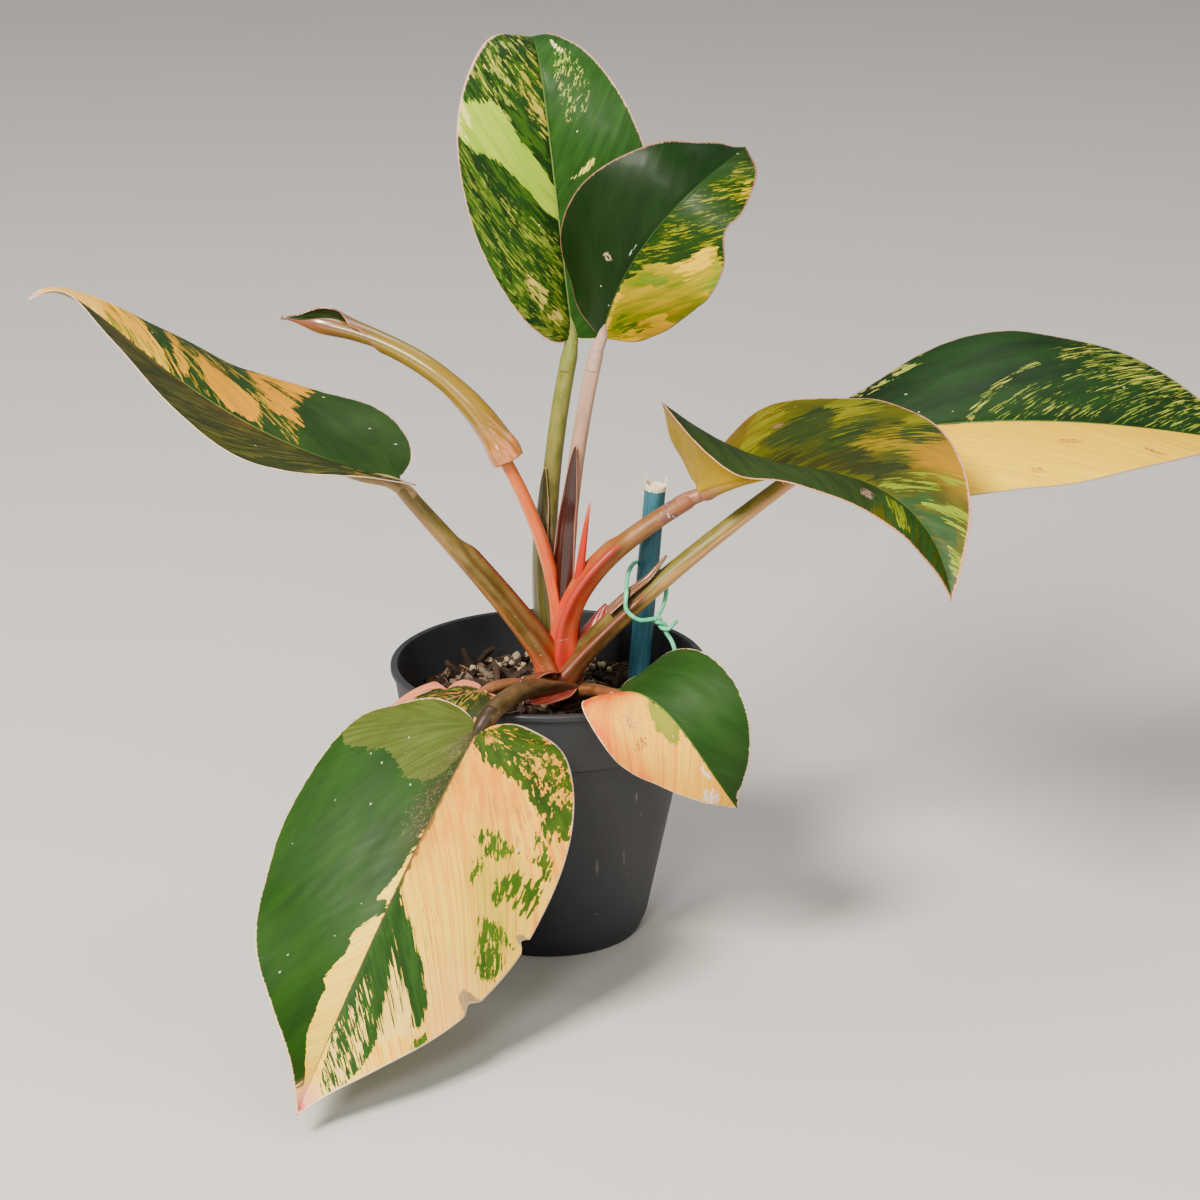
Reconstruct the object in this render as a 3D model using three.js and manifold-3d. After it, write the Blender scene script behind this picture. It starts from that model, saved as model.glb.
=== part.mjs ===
// A potted red congo mint philodendron: a small black nursery pot, bark soil, a short crown with
// eight stalked leaves and one rolled young leaf, a red shoot tip, a bamboo stake and a wire tie.
// Millimetres, +Z up. The pot stands on Z = 0 with its axis on X = Y = 0; its front is -Y.

import * as THREE from 'three';
import { mergeVertices } from 'three/addons/utils/BufferGeometryUtils.js';
import Module from 'manifold-3d';

// Clearance between pieces that touch, and the distance below which two corners are one
const GAP = 0.3;
const WELD = 1e-4;

// Pot
const POT_HEIGHT = 116;
const RIM_RADIUS = 65;
const LIP_HEIGHT = 2.4;
const BAND_TOP_RADIUS = 63.6;
const BAND_HEIGHT = 26;
const BAND_RADIUS = 60.2;
const LEDGE_STEP = 2.4;
const LEDGE_SLOPE = 1.2;
const RIM_EDGE = 0.5;
const FOOT_HEIGHT = 7;
const FOOT_RADIUS = 41;
const BASE_RADIUS = 38;
const WALL = 1.5;
const FLOOR = 2.2;
const POT_SIDES = 48;

// Soil
const SOIL_LEVEL = 98;
const SOIL_SIDES = 30;
const SOIL_RINGS = 5;
const SOIL_BUMP = 1.6;
const SOIL_SEED = 11;
const BARK_CHIPS = 28;
const CHIP_LENGTH = [4, 9];
const CHIP_WIDTH = [2, 4];
const CHIP_THICKNESS = [1.8, 2.8];
const PERLITE_GRAINS = 11;
const GRAIN_RADIUS = [1.6, 2.7];

// Crown, stake and wire
const CROWN_FOOT = [8, 0, 60];
const CROWN_TOP = [6, 0, 113];
const CROWN_HOLE_TOP = [7, 0, 125];
const CROWN_HOLE_RADIUS = 7.4;
const CROWN_SHARE_BELOW_SOIL = 0.72;
const STAKE_FOOT = [31, 20, 26];
const STAKE_TOP = [44, 17.5, 186];
const STAKE_RADIUS = 4.4;
const SPLINTER_LENGTH = 3.4;
const SPLINTER_ANGLES = [0.4, 2.1, 3.3, 5.2];
const WIRE_RADIUS = 0.9;
const WIRE_SIDES = 6;
const WIRE_STEPS = 75;
const TWIST_RADIUS = 1.05;

// Leaf blades: one outline for the species, scaled to each leaf
const BLADE_HALF_THICKNESS = 0.42;
const MIDRIB_DEPTH = 1.5;
const NECK = 2.4;
const ROWS = 16;
const HALF_COLUMNS = 5;
const VEIN_SWEEP = 1.25;
const SHOULDER = 0.42;

// Leaf stalks
const STALK_SIDES = 12;
const STALK_STEPS = 10;
const SHEATH_ROWS = 9;
const SHEATH_COLUMNS = 4;

const DEGREE = Math.PI / 180;
const WING_ANGLE = 60 * DEGREE;
const WING_SPREAD = 20 * DEGREE;

const wasm = await Module();
wasm.setup();

const group = new THREE.Group();
group.name = 'potted_philodendron';

function material(colour, roughness) {
  return new THREE.MeshStandardMaterial({ color: colour, roughness, metalness: 0 });
}

function toVector(place) {
  return new THREE.Vector3(...place);
}

function toCurve(path) {
  return new THREE.CubicBezierCurve3(...path.map(toVector));
}

// A closed geometry as a solid that can be joined and cut
function toSolid(geometry) {
  const bare = geometry.clone();
  bare.deleteAttribute('normal');
  bare.deleteAttribute('uv');
  const welded = mergeVertices(bare, WELD);
  return new wasm.Manifold(new wasm.Mesh({
    numProp: 3,
    vertProperties: new Float32Array(welded.attributes.position.array),
    triVerts: new Uint32Array(welded.index.array),
  }));
}

function toGeometry(solid) {
  const mesh = solid.getMesh();
  const geometry = new THREE.BufferGeometry();
  geometry.setAttribute('position', new THREE.BufferAttribute(mesh.vertProperties, 3));
  geometry.setIndex(new THREE.BufferAttribute(mesh.triVerts, 1));
  geometry.computeVertexNormals();
  return geometry;
}

function addNode(name, solid, look) {
  const mesh = new THREE.Mesh(toGeometry(solid), look);
  mesh.name = name;
  group.add(mesh);
}

// The outer skin of the largest body left of a solid after others are cut out of it
function carve(solid, cutters) {
  const cut = cutters.reduce((rest, cutter) => rest.subtract(cutter), solid);
  const bodies = cut.decompose();
  return bodies.reduce((best, body) => (body.volume() > best.volume() ? body : best));
}

// A number between 0 and 1 from a seed, the same on every run
function randomFrom(seed) {
  let state = seed;
  return () => {
    state = (state * 1664525 + 1013904223) % 4294967296;
    return state / 4294967296;
  };
}

function lerp(from, to, share) {
  return from + (to - from) * share;
}

function smooth(share) {
  const held = THREE.MathUtils.clamp(share, 0, 1);
  return 0.5 - 0.5 * Math.cos(Math.PI * held);
}

// The value of a base, middle and tip setting at a place along a leaf
function alongThree([base, middle, tip], share) {
  return base + (middle - base) * smooth(share * 2) + (tip - middle) * smooth(share * 2 - 1);
}

// The frame on a curve: its point, its tangent, the way its upper face looks and its right side
function frameOn(curve, share, faceBase, faceTip) {
  const point = curve.getPoint(share);
  const tangent = curve.getTangent(share);
  const face = faceBase.clone().lerp(faceTip, share);
  const up = face.addScaledVector(tangent, -face.dot(tangent)).normalize();
  const side = tangent.clone().cross(up);
  return { point, tangent, up, side };
}

// A closed rod along a curve. radiusAt(share, angle) counts the angle from the upper face;
// grow makes the rod larger all round, for cutting clearances
function rod(curve, face, radiusAt, sides, steps, grow = 0) {
  const geometry = new THREE.CylinderGeometry(1, 1, 1, sides, steps);
  const places = geometry.attributes.position;
  const look = toVector(face);
  for (let i = 0; i < places.count; i += 1) {
    const share = places.getY(i) + 0.5;
    const spread = Math.hypot(places.getX(i), places.getZ(i));
    const angle = Math.atan2(places.getX(i), places.getZ(i));
    const { point, tangent, up, side } = frameOn(curve, share, look, look);
    const radius = spread * (radiusAt(share, angle) + grow);
    point.addScaledVector(up, radius * Math.cos(angle));
    point.addScaledVector(side, radius * Math.sin(angle));
    if (share < 1e-6) point.addScaledVector(tangent, -grow);
    if (share > 1 - 1e-6) point.addScaledVector(tangent, grow);
    places.setXYZ(i, point.x, point.y, point.z);
  }
  return toSolid(geometry);
}

// A thin closed sheet round the middle surface pointAt(along 0..1, across -1..1), split alike on
// both faces; depthAt gives how far the upper and the lower face stand off the middle
function sheet(pointAt, rows, columns, depthAt) {
  const middle = [];
  for (let i = 0; i <= rows; i += 1) {
    for (let j = 0; j <= columns; j += 1) {
      middle.push(pointAt(i / rows, (2 * j) / columns - 1));
    }
  }
  const at = (i, j) => middle[i * (columns + 1) + j];
  const upper = [];
  const lower = [];
  for (let i = 0; i <= rows; i += 1) {
    for (let j = 0; j <= columns; j += 1) {
      const along = at(Math.min(i + 1, rows), j).clone().sub(at(Math.max(i - 1, 0), j));
      const across = at(i, Math.min(j + 1, columns)).clone().sub(at(i, Math.max(j - 1, 0)));
      const normal = across.cross(along).normalize();
      const [above, below] = depthAt(i / rows, (2 * j) / columns - 1);
      upper.push(at(i, j).clone().addScaledVector(normal, above));
      lower.push(at(i, j).clone().addScaledVector(normal, -below));
    }
  }
  const points = upper.concat(lower);
  const offset = upper.length;
  const faces = [];
  const index = (i, j) => i * (columns + 1) + j;
  for (let i = 0; i < rows; i += 1) {
    for (let j = 0; j < columns; j += 1) {
      const [a, b, c, d] = [index(i, j), index(i + 1, j), index(i + 1, j + 1), index(i, j + 1)];
      const split = j < columns / 2 ? [[a, d, b], [b, d, c]] : [[a, d, c], [a, c, b]];
      for (const [p, q, r] of split) {
        faces.push(p, q, r, offset + p, offset + r, offset + q);
      }
    }
  }
  const edge = [];
  for (let j = 0; j < columns; j += 1) edge.push(index(0, j));
  for (let i = 0; i < rows; i += 1) edge.push(index(i, columns));
  for (let j = columns; j > 0; j -= 1) edge.push(index(rows, j));
  for (let i = rows; i > 0; i -= 1) edge.push(index(i, 0));
  edge.forEach((p, k) => {
    const q = edge[(k + 1) % edge.length];
    faces.push(q, p, offset + p, q, offset + p, offset + q);
  });
  const geometry = new THREE.BufferGeometry().setFromPoints(points);
  geometry.setIndex(faces);
  return toSolid(geometry);
}

// The species outline of one half of a blade: how far along and how far out its margin lies
function marginAt(share, length, halfWidth, lobe, belly) {
  const widest = belly * length;
  const toShoulder = new THREE.CubicBezierCurve(
    new THREE.Vector2(0, NECK),
    new THREE.Vector2(-1.5 * lobe * length, 0.3 * halfWidth),
    new THREE.Vector2(widest - (0.36 + 0.6 * lobe) * length, halfWidth),
    new THREE.Vector2(widest, halfWidth),
  );
  const toTip = new THREE.CubicBezierCurve(
    new THREE.Vector2(widest, halfWidth),
    new THREE.Vector2(widest + 0.26 * length, halfWidth),
    new THREE.Vector2(0.88 * length, 0.2 * halfWidth),
    new THREE.Vector2(length, 0.5),
  );
  if (share < SHOULDER) return toShoulder.getPoint(share / SHOULDER);
  return toTip.getPoint((share - SHOULDER) / (1 - SHOULDER));
}

// How far the dents of a half draw its margin in: the share that is left of its reach
function dentedShare(along, dents) {
  const left = ([place, reach, depth]) => 1 - depth * Math.exp(-(((along - place) / reach) ** 2));
  return dents.reduce((share, dent) => share * left(dent), 1);
}

// The middle surface of a blade: its midrib follows a curve, and each half folds up from it by
// its fold angle and bends back by its cup
function bladeSurface(leaf) {
  const curve = toCurve(leaf.path);
  const length = curve.getLength();
  const faceBase = toVector(leaf.faceBase).normalize();
  const faceTip = toVector(leaf.faceTip).normalize();
  return (along, across) => {
    const outward = Math.abs(across);
    const half = across < 0 ? leaf.left : leaf.right;
    const { width, lobe = leaf.lobe, belly = leaf.belly, dents } = half;
    const margin = marginAt(along, length, width * leaf.halfWidth, lobe, belly);
    const ribAlong = length * along ** VEIN_SWEEP;
    const place = ribAlong + (margin.x - ribAlong) * outward ** 1.5;
    const out = margin.y * dentedShare(along, dents) * outward;
    const share = THREE.MathUtils.clamp(place / length, 0, 1);
    const time = curve.getUtoTmapping(share);
    const { point, tangent, up, side } = frameOn(curve, time, faceBase, faceTip);
    const fold = alongThree(half.fold, share) * DEGREE;
    const bend = half.cup / leaf.halfWidth;
    const sideways = (Math.sin(fold) - Math.sin(fold - bend * out)) / bend;
    const upward = (Math.cos(fold - bend * out) - Math.cos(fold)) / bend;
    point.addScaledVector(tangent, Math.min(place, 0));
    point.addScaledVector(side, Math.sign(across) * sideways);
    return point.addScaledVector(up, upward);
  };
}

// A blade is thin, with its midrib standing out below and fading toward the tip
function buildBlade(leaf) {
  const depthAt = (along, across) => {
    const rib = across === 0 ? MIDRIB_DEPTH * (1 - along) : 0;
    return [BLADE_HALF_THICKNESS, BLADE_HALF_THICKNESS + rib];
  };
  return sheet(bladeSurface(leaf), ROWS, 2 * HALF_COLUMNS, depthAt);
}

// A stalk is flat on its upper side. Low down it is a channel there, between two wings that run
// up to the ligule and stop
function stalkRadius(stalk) {
  const [baseRadius, endRadius] = stalk.radii;
  const [leftWing, rightWing, wingEnd] = stalk.wings;
  return (share, angle) => {
    const radius = lerp(baseRadius, endRadius, share ** 0.7);
    const wing = lerp(leftWing, rightWing, 0.5 + 0.5 * Math.sin(angle));
    const ridge = Math.exp(-(((Math.abs(angle) - WING_ANGLE) / WING_SPREAD) ** 2));
    const run = smooth((wingEnd + 0.02 - share) / 0.06);
    const flat = (0.2 + 0.25 * run) * Math.max(0, Math.cos(angle)) ** 2;
    return radius * (1 - flat) + wing * ridge * run;
  };
}

// The free, spear-shaped end of a stalk's sheath: a thin blade that lies on the stalk's upper side,
// curls round it and lifts a little at its tip
function buildSheath(stalk) {
  const curve = toCurve(stalk.path);
  const face = toVector(stalk.face);
  const radiusAt = stalkRadius(stalk);
  const { from, to, halfWidth, lift } = stalk.sheath;
  const pointAt = (along, across) => {
    const share = lerp(from, to, along);
    const { point, up, side } = frameOn(curve, share, face, face);
    const belly = 0.72 + 0.28 * smooth(along / 0.35);
    const width = halfWidth * belly * (1 - along ** 4) + 0.5;
    const crest = 0.9 * radiusAt(share, 0) + 0.5 + lift * along ** 3;
    point.addScaledVector(side, width * across);
    return point.addScaledVector(up, crest - 0.35 * width * across ** 2);
  };
  const thickness = () => [BLADE_HALF_THICKNESS, BLADE_HALF_THICKNESS];
  return sheet(pointAt, SHEATH_ROWS, SHEATH_COLUMNS, thickness);
}

function buildStalk(stalk, grow = 0) {
  const steps = STALK_STEPS;
  const body = rod(toCurve(stalk.path), stalk.face, stalkRadius(stalk), STALK_SIDES, steps, grow);
  return stalk.sheath ? body.add(buildSheath(stalk)) : body;
}

// A half's shape may set its own width, as a share of the leaf's, its own lobe and belly, and
// dents in its margin: each one's place and reach along the leaf and its depth, all as shares.
// A negative depth is a bulge
function half(fold, cup, shape = {}) {
  return { fold, cup, width: 1, dents: [], ...shape };
}

// The leaves. Folds are in degrees at base, middle and tip, left and right as seen from above
// with the tip ahead. A leaf's belly is how far along it is widest, and its lobe how far its
// base reaches back
const LEAVES = {
  back_left: {
    blade: {
      path: [[10, 31, 245], [2, 16, 318], [-3, 26, 382], [-8, 66, 360]],
      faceBase: [-0.25, -1, 0.2],
      faceTip: [0, -0.8, 0.6],
      halfWidth: 40,
      left: half([50, 28, 30], 0.35, { width: 0.95 }),
      right: half([-4, 14, -10], 0.4, { width: 1.02, belly: 0.4 }),
      lobe: 0.02,
      belly: 0.56,
    },
    stalk: {
      path: [[3, 11, 112], [-5, 14, 146], [1, 26, 203], [10, 31, 244]],
      face: [-0.6, -0.8, 0.1],
      radii: [4.6, 3.5],
      wings: [1.8, 1.4, 0.5],
      sheath: { from: 0.36, to: 0.64, halfWidth: 4.4, lift: 1 },
    },
    bladeLook: material('#54702f', 0.38),
    stalkLook: material('#6f6d36', 0.4),
  },
  back_right: {
    blade: {
      path: [[22, 14, 250], [30, -20, 300], [66, -30, 330], [79, 15, 328]],
      faceBase: [-0.4, -0.9, 0.1],
      faceTip: [0, -0.8, 0.6],
      halfWidth: 36,
      left: half([-10, 18, 0], 0.35, { width: 0.97 }),
      right: half([-22, 2, 10], 0.35, {
        belly: 0.37,
        dents: [[0.32, 0.14, 0.2], [0.65, 0.045, 0.18], [0.85, 0.08, -0.18]],
      }),
      lobe: 0,
      belly: 0.4,
    },
    stalk: {
      path: [[7, 8, 116], [5, 9, 157], [11, 12, 207], [21, 14, 249]],
      face: [-0.3, -1, 0.1],
      radii: [3.8, 3],
      wings: [1.6, 1.6, 0.5],
      sheath: { from: 0.36, to: 0.7, halfWidth: 4.4, lift: 1.2 },
    },
    bladeLook: material('#46602b', 0.3),
    stalkLook: material('#a07f64', 0.35),
  },
  left: {
    blade: {
      path: [[-60, -5, 195], [-160, -20, 225], [-182, 2, 288], [-206, -6, 271]],
      faceBase: [0.4, -0.1, 0.9],
      faceTip: [0.5, 0, 0.9],
      halfWidth: 47,
      left: half([28, 12, 20], 0.3, { dents: [[0.26, 0.1, 0.2]] }),
      right: half([35, 18, 0], 0.55, { dents: [[0.9, 0.06, -0.6], [0.36, 0.05, 0.06]] }),
      lobe: 0.045,
      belly: 0.36,
    },
    stalk: {
      path: [[1, -4, 114], [-5, -5, 131], [-44, -8, 175], [-60.5, -5.4, 194.5]],
      face: [0.7, -0.3, 0.7],
      radii: [6, 3.4],
      wings: [1.8, 3.2, 0.66],
    },
    bladeLook: material('#6d6e2c', 0.36),
    stalkLook: material('#7c6a42', 0.4),
  },
  right_front: {
    blade: {
      path: [[62, 12, 185], [75, -30, 206], [148, -62, 236], [156, -102, 178]],
      faceBase: [-0.3, 0.2, 0.9],
      faceTip: [0.4, -0.6, 0.7],
      halfWidth: 49,
      left: half([44, 26, 50], 0.35, { width: 0.97 }),
      right: half([94, 36, 24], 0.6, { lobe: 0.07 }),
      lobe: 0.09,
      belly: 0.39,
    },
    stalk: {
      path: [[6, 0, 121], [5, -1, 152], [35, 4, 171], [61, 12, 184]],
      face: [-0.7, -0.2, 0.7],
      radii: [5.9, 3.8],
      wings: [2, 3.4, 0.62],
    },
    bladeLook: material('#8a8a2c', 0.34),
    stalkLook: material('#c0623c', 0.38),
  },
  right_back: {
    blade: {
      path: [[111, 22, 198], [146, 27, 215], [227, 36, 213], [303, 46, 192]],
      faceBase: [0, -0.4, 0.9],
      faceTip: [0, -0.1, 1],
      halfWidth: 52,
      left: half([-4, 26, 20], 0.4, {
        width: 1.05,
        lobe: 0.09,
        belly: 0.46,
        dents: [[0.27, 0.07, 0.22], [0.66, 0.1, -0.16]],
      }),
      right: half([4, 11, 10], 0.35),
      lobe: 0.06,
      belly: 0.41,
    },
    stalk: {
      path: [[6, -6, 112], [25, -4, 135], [62, 10, 163], [110, 21, 196]],
      face: [-0.6, -0.3, 0.75],
      radii: [5.4, 3.3],
      wings: [1.6, 1.8, 0.46],
      sheath: { from: 0.4, to: 0.56, halfWidth: 3, lift: 3.5 },
    },
    bladeLook: material('#8b8a3a', 0.36),
    stalkLook: material('#a08a58', 0.4),
  },
  front_left: {
    blade: {
      path: [[-26, -78, 117], [-41, -122, 106], [-81, -157, 27], [-92, -204, 10]],
      faceBase: [-0.1, -0.9, 0.5],
      faceTip: [0, -1, 0.3],
      halfWidth: 57,
      left: half([5, -10, 15], 0.35),
      right: half([0, -10, 38], 0.4),
      lobe: 0.08,
      belly: 0.38,
    },
    stalk: {
      path: [[8, -8, 106], [-1, -30, 118], [-14, -62, 129], [-25, -77, 118]],
      face: [0, -0.3, 1],
      radii: [4.4, 3.9],
      wings: [1.6, 1.2, 0.36],
    },
    bladeLook: material('#7f7c45', 0.42),
    stalkLook: material('#7d6a48', 0.45),
  },
  front_right: {
    blade: {
      path: [[28, -44, 118], [45, -68, 134], [61, -86, 105], [76, -62, 76]],
      faceBase: [0.4, -0.6, 0.6],
      faceTip: [-0.1, -0.9, 0.3],
      halfWidth: 28,
      left: half([21, 25, 0], 0.35, { width: 1.03, dents: [[0.9, 0.05, 0.3]] }),
      right: half([15, -14, 0], 0.4),
      lobe: 0.06,
      belly: 0.38,
    },
    stalk: {
      path: [[12, -6, 105], [18, -14, 110], [23, -32, 114], [28, -43, 117]],
      face: [0, -0.3, 1],
      radii: [3.4, 2.6],
      wings: [0.4, 0.4, 0.5],
    },
    bladeLook: material('#7c8348', 0.36),
    stalkLook: material('#80603f', 0.45),
  },
  low_left: {
    blade: {
      path: [[-26, -44, 119], [-46, -56, 122], [-66, -68, 108], [-80, -80, 78]],
      faceBase: [-0.1, -0.3, 0.95],
      faceTip: [-0.4, -0.5, 0.8],
      halfWidth: 22,
      left: half([16, -6, -34], 0.3),
      right: half([-6, -12, 0], 0.2),
      lobe: 0.05,
      belly: 0.38,
    },
    stalk: {
      path: [[3, -7, 105], [-6, -18, 112], [-14, -34, 121], [-25, -43, 119]],
      face: [0, -0.3, 1],
      radii: [3.2, 2.5],
      wings: [0.4, 0.4, 0.5],
    },
    bladeLook: material('#7c6a3a', 0.4),
    stalkLook: material('#7a5a40', 0.45),
  },
};

// The rolled young leaf: a sheet wound a little over once round its own curve, with its radius
// and the angles in degrees of its two margins at places along it. Near the tip the outer margin
// winds back over the top and flares, which leaves the roll open there
const ROLL = {
  path: [[-15.5, 2, 202], [-33, 6, 236], [-64, 14, 254], [-108, 22, 256]],
  face: [0.5, -0.8, 0.3],
  radii: [
    [0, 5.6], [0.06, 6.6], [0.2, 5.8], [0.4, 4.5], [0.65, 4.2], [0.86, 4.6], [1, 0.8],
  ],
  outerMargin: [[0, -120], [0.6, -110], [0.75, 0], [0.86, 90], [1, 120]],
  innerMargin: [[0, 400], [0.8, 400], [1, 330]],
  flare: [[0, 0], [0.68, 0], [0.86, 4.2], [1, 0]],
  pitch: 1.25,
  halfThickness: 0.33,
  rows: 20,
  columns: 14,
};
const ROLL_STALK = {
  path: [[4, 6, 120], [6, 6, 145], [-4, 4, 178], [-19, 2.5, 205]],
  face: [0.9, -0.3, 0.3],
  radii: [3.5, 2.8],
  wings: [0.3, 0.3, 0.4],
};
const SHOOT = {
  path: [[10, 5, 124], [12, 4, 146], [14, 3, 165], [17, 3, 183]],
  face: [0, -1, 0],
  radii: [2.6, 0.5],
};

const ROLL_LOOK = material('#8d7b3c', 0.22);
const ROLL_STALK_LOOK = material('#cf6b35', 0.35);
const SHOOT_LOOK = material('#cc4a32', 0.4);

// A value read off a list of [share, value] pairs, smoothly joined
function alongList(list, share) {
  const next = Math.max(1, list.findIndex(([place]) => place >= share));
  const [fromPlace, from] = list[next - 1];
  const [toPlace, to] = list[next];
  return lerp(from, to, smooth((share - fromPlace) / (toPlace - fromPlace)));
}

function buildRoll() {
  const curve = toCurve(ROLL.path);
  const face = toVector(ROLL.face);
  const pointAt = (along, across) => {
    const { point, up, side } = frameOn(curve, along, face, face);
    const outer = alongList(ROLL.outerMargin, along) * DEGREE;
    const inward = (across + 1) / 2;
    const wound = inward * (alongList(ROLL.innerMargin, along) * DEGREE - outer);
    const angle = outer + wound;
    const flare = alongList(ROLL.flare, along) * (1 - inward) ** 3;
    const tightening = (ROLL.pitch * wound) / (2 * Math.PI);
    const radius = Math.max(0.5, alongList(ROLL.radii, along) + flare - tightening);
    point.addScaledVector(up, radius * Math.cos(angle));
    return point.addScaledVector(side, radius * Math.sin(angle));
  };
  return sheet(pointAt, ROLL.rows, ROLL.columns, () => [ROLL.halfThickness, ROLL.halfThickness]);
}

function buildPot() {
  const ledge = POT_HEIGHT - BAND_HEIGHT;
  const below = BAND_RADIUS - LEDGE_STEP;
  const profile = [
    [0, 0],
    [BASE_RADIUS, 0],
    [FOOT_RADIUS, FOOT_HEIGHT],
    [below, ledge - LEDGE_SLOPE],
    [BAND_RADIUS, ledge],
    [BAND_TOP_RADIUS, POT_HEIGHT - LIP_HEIGHT - RIM_EDGE],
    [RIM_RADIUS, POT_HEIGHT - LIP_HEIGHT],
    [RIM_RADIUS, POT_HEIGHT - RIM_EDGE],
    [RIM_RADIUS - RIM_EDGE, POT_HEIGHT],
    [BAND_TOP_RADIUS - WALL, POT_HEIGHT],
    [BAND_RADIUS - WALL, ledge],
    [below - WALL, ledge - LEDGE_SLOPE],
    [FOOT_RADIUS - WALL, FOOT_HEIGHT],
    [BASE_RADIUS - WALL, FLOOR],
    [0, FLOOR],
  ];
  return lathe(profile, POT_SIDES);
}

// A solid of revolution about Z from [radius, height] pairs
function lathe(profile, sides) {
  const geometry = new THREE.LatheGeometry(profile.map(([r, z]) => new THREE.Vector2(r, z)), sides);
  geometry.rotateX(Math.PI / 2);
  return toSolid(geometry);
}

// The radius inside the pot's wall at a height below its ledge or in its band
function innerRadius(height) {
  const ledge = POT_HEIGHT - BAND_HEIGHT;
  if (height < ledge) {
    const share = (height - FOOT_HEIGHT) / (ledge - LEDGE_SLOPE - FOOT_HEIGHT);
    return lerp(FOOT_RADIUS, BAND_RADIUS - LEDGE_STEP, share) - WALL;
  }
  return lerp(BAND_RADIUS, BAND_TOP_RADIUS, (height - ledge) / BAND_HEIGHT) - WALL;
}

function soilHeight(x, y) {
  const swell = Math.sin(x * 0.11 + 1.3) * Math.cos(y * 0.13 - 0.4);
  const lumps = Math.sin(x * 0.37 + y * 0.21) * Math.sin(y * 0.43 - x * 0.17 + 2);
  return SOIL_LEVEL + SOIL_BUMP * (0.7 * swell + 0.5 * lumps);
}

// Where a straight stem with this foot and top is at a height
function stemAt(foot, top, height) {
  const share = (height - foot[2]) / (top[2] - foot[2]);
  return [lerp(foot[0], top[0], share), lerp(foot[1], top[1], share)];
}

function distanceToSegment(x, y, from, to) {
  const along = [to[0] - from[0], to[1] - from[1]];
  const reach = along[0] ** 2 + along[1] ** 2;
  const raw = ((x - from[0]) * along[0] + (y - from[1]) * along[1]) / reach;
  const share = THREE.MathUtils.clamp(raw, 0, 1);
  return Math.hypot(x - from[0] - share * along[0], y - from[1] - share * along[1]);
}

// Loose pieces keep clear of the crown, the stake and the low stalks that cross the soil
function soilIsFree(x, y, reach) {
  const stake = stemAt(STAKE_FOOT, STAKE_TOP, SOIL_LEVEL);
  if (Math.hypot(x - CROWN_TOP[0], y - CROWN_TOP[1]) < 13 + reach) return false;
  if (Math.hypot(x - stake[0], y - stake[1]) < STAKE_RADIUS + 2 + reach) return false;
  const low = [LEAVES.front_left, LEAVES.front_right, LEAVES.low_left];
  return low.every(({ stalk }) => distanceToSegment(x, y, stalk.path[0], stalk.path[3]) > 7 + reach);
}

function scatter(count, reach, random) {
  const places = [];
  while (places.length < count) {
    const angle = 2 * Math.PI * random();
    const radius = (innerRadius(SOIL_LEVEL) - reach - 1.5) * Math.sqrt(random());
    const x = radius * Math.cos(angle);
    const y = radius * Math.sin(angle);
    if (soilIsFree(x, y, reach)) places.push([x, y, soilHeight(x, y)]);
  }
  return places;
}

// A bark chip: a flat splinter with a skewed end, tilted and half sunk
function barkChip([x, y, z], random) {
  const [length, width, thickness] = [CHIP_LENGTH, CHIP_WIDTH, CHIP_THICKNESS].map(
    ([least, most]) => lerp(least, most, random()),
  );
  const chip = new THREE.BoxGeometry(length, width, thickness);
  const places = chip.attributes.position;
  for (let i = 0; i < places.count; i += 1) {
    const skew = Math.sign(places.getX(i)) * 0.25 * places.getY(i);
    places.setX(i, places.getX(i) + skew);
  }
  chip.rotateX((random() - 0.5) * 1.2);
  chip.rotateY((random() - 0.5) * 0.9);
  chip.rotateZ(2 * Math.PI * random());
  chip.translate(x, y, z + 0.3);
  return toSolid(chip);
}

function perliteGrain([x, y, z], random) {
  const grain = new THREE.IcosahedronGeometry(lerp(...GRAIN_RADIUS, random()), 0);
  grain.scale(1, 0.85, 0.8);
  grain.rotateZ(2 * Math.PI * random());
  grain.translate(x, y, z + 0.7);
  return toSolid(grain);
}

// The soil fills the pot below its level, with plain holes for the crown and the stake
function buildSoil() {
  const ledge = POT_HEIGHT - BAND_HEIGHT;
  const top = innerRadius(SOIL_LEVEL) - GAP;
  const rings = Array.from({ length: SOIL_RINGS }, (_, k) => 0.9 * (1 - k / SOIL_RINGS));
  const profile = [
    [0, FLOOR + GAP],
    [BASE_RADIUS - WALL - 1, FLOOR + GAP],
    [innerRadius(FOOT_HEIGHT) - 1, FOOT_HEIGHT],
    [innerRadius(ledge - 2) - 1, ledge - 2],
    [top, SOIL_LEVEL - 1],
    ...rings.map((share) => [top * share, SOIL_LEVEL]),
    [0, SOIL_LEVEL],
  ];
  const points = profile.map(([r, z]) => new THREE.Vector2(r, z));
  const geometry = new THREE.LatheGeometry(points, SOIL_SIDES);
  geometry.rotateX(Math.PI / 2);
  const places = geometry.attributes.position;
  for (let i = 0; i < places.count; i += 1) {
    if (places.getZ(i) > SOIL_LEVEL - 0.5) {
      places.setZ(i, soilHeight(places.getX(i), places.getY(i)));
    }
  }
  const random = randomFrom(SOIL_SEED);
  const chips = scatter(BARK_CHIPS, 3, random).map((place) => barkChip(place, random));
  const grains = scatter(PERLITE_GRAINS, 1.5, random).map((place) => perliteGrain(place, random));
  const bed = wasm.Manifold.union([toSolid(geometry), ...chips, ...grains]);
  const holes = [
    straightRod(CROWN_FOOT, CROWN_HOLE_TOP, CROWN_HOLE_RADIUS, 24, GAP),
    straightRod(STAKE_FOOT, STAKE_TOP, STAKE_RADIUS, 20, GAP),
  ];
  return carve(bed, holes);
}

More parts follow.
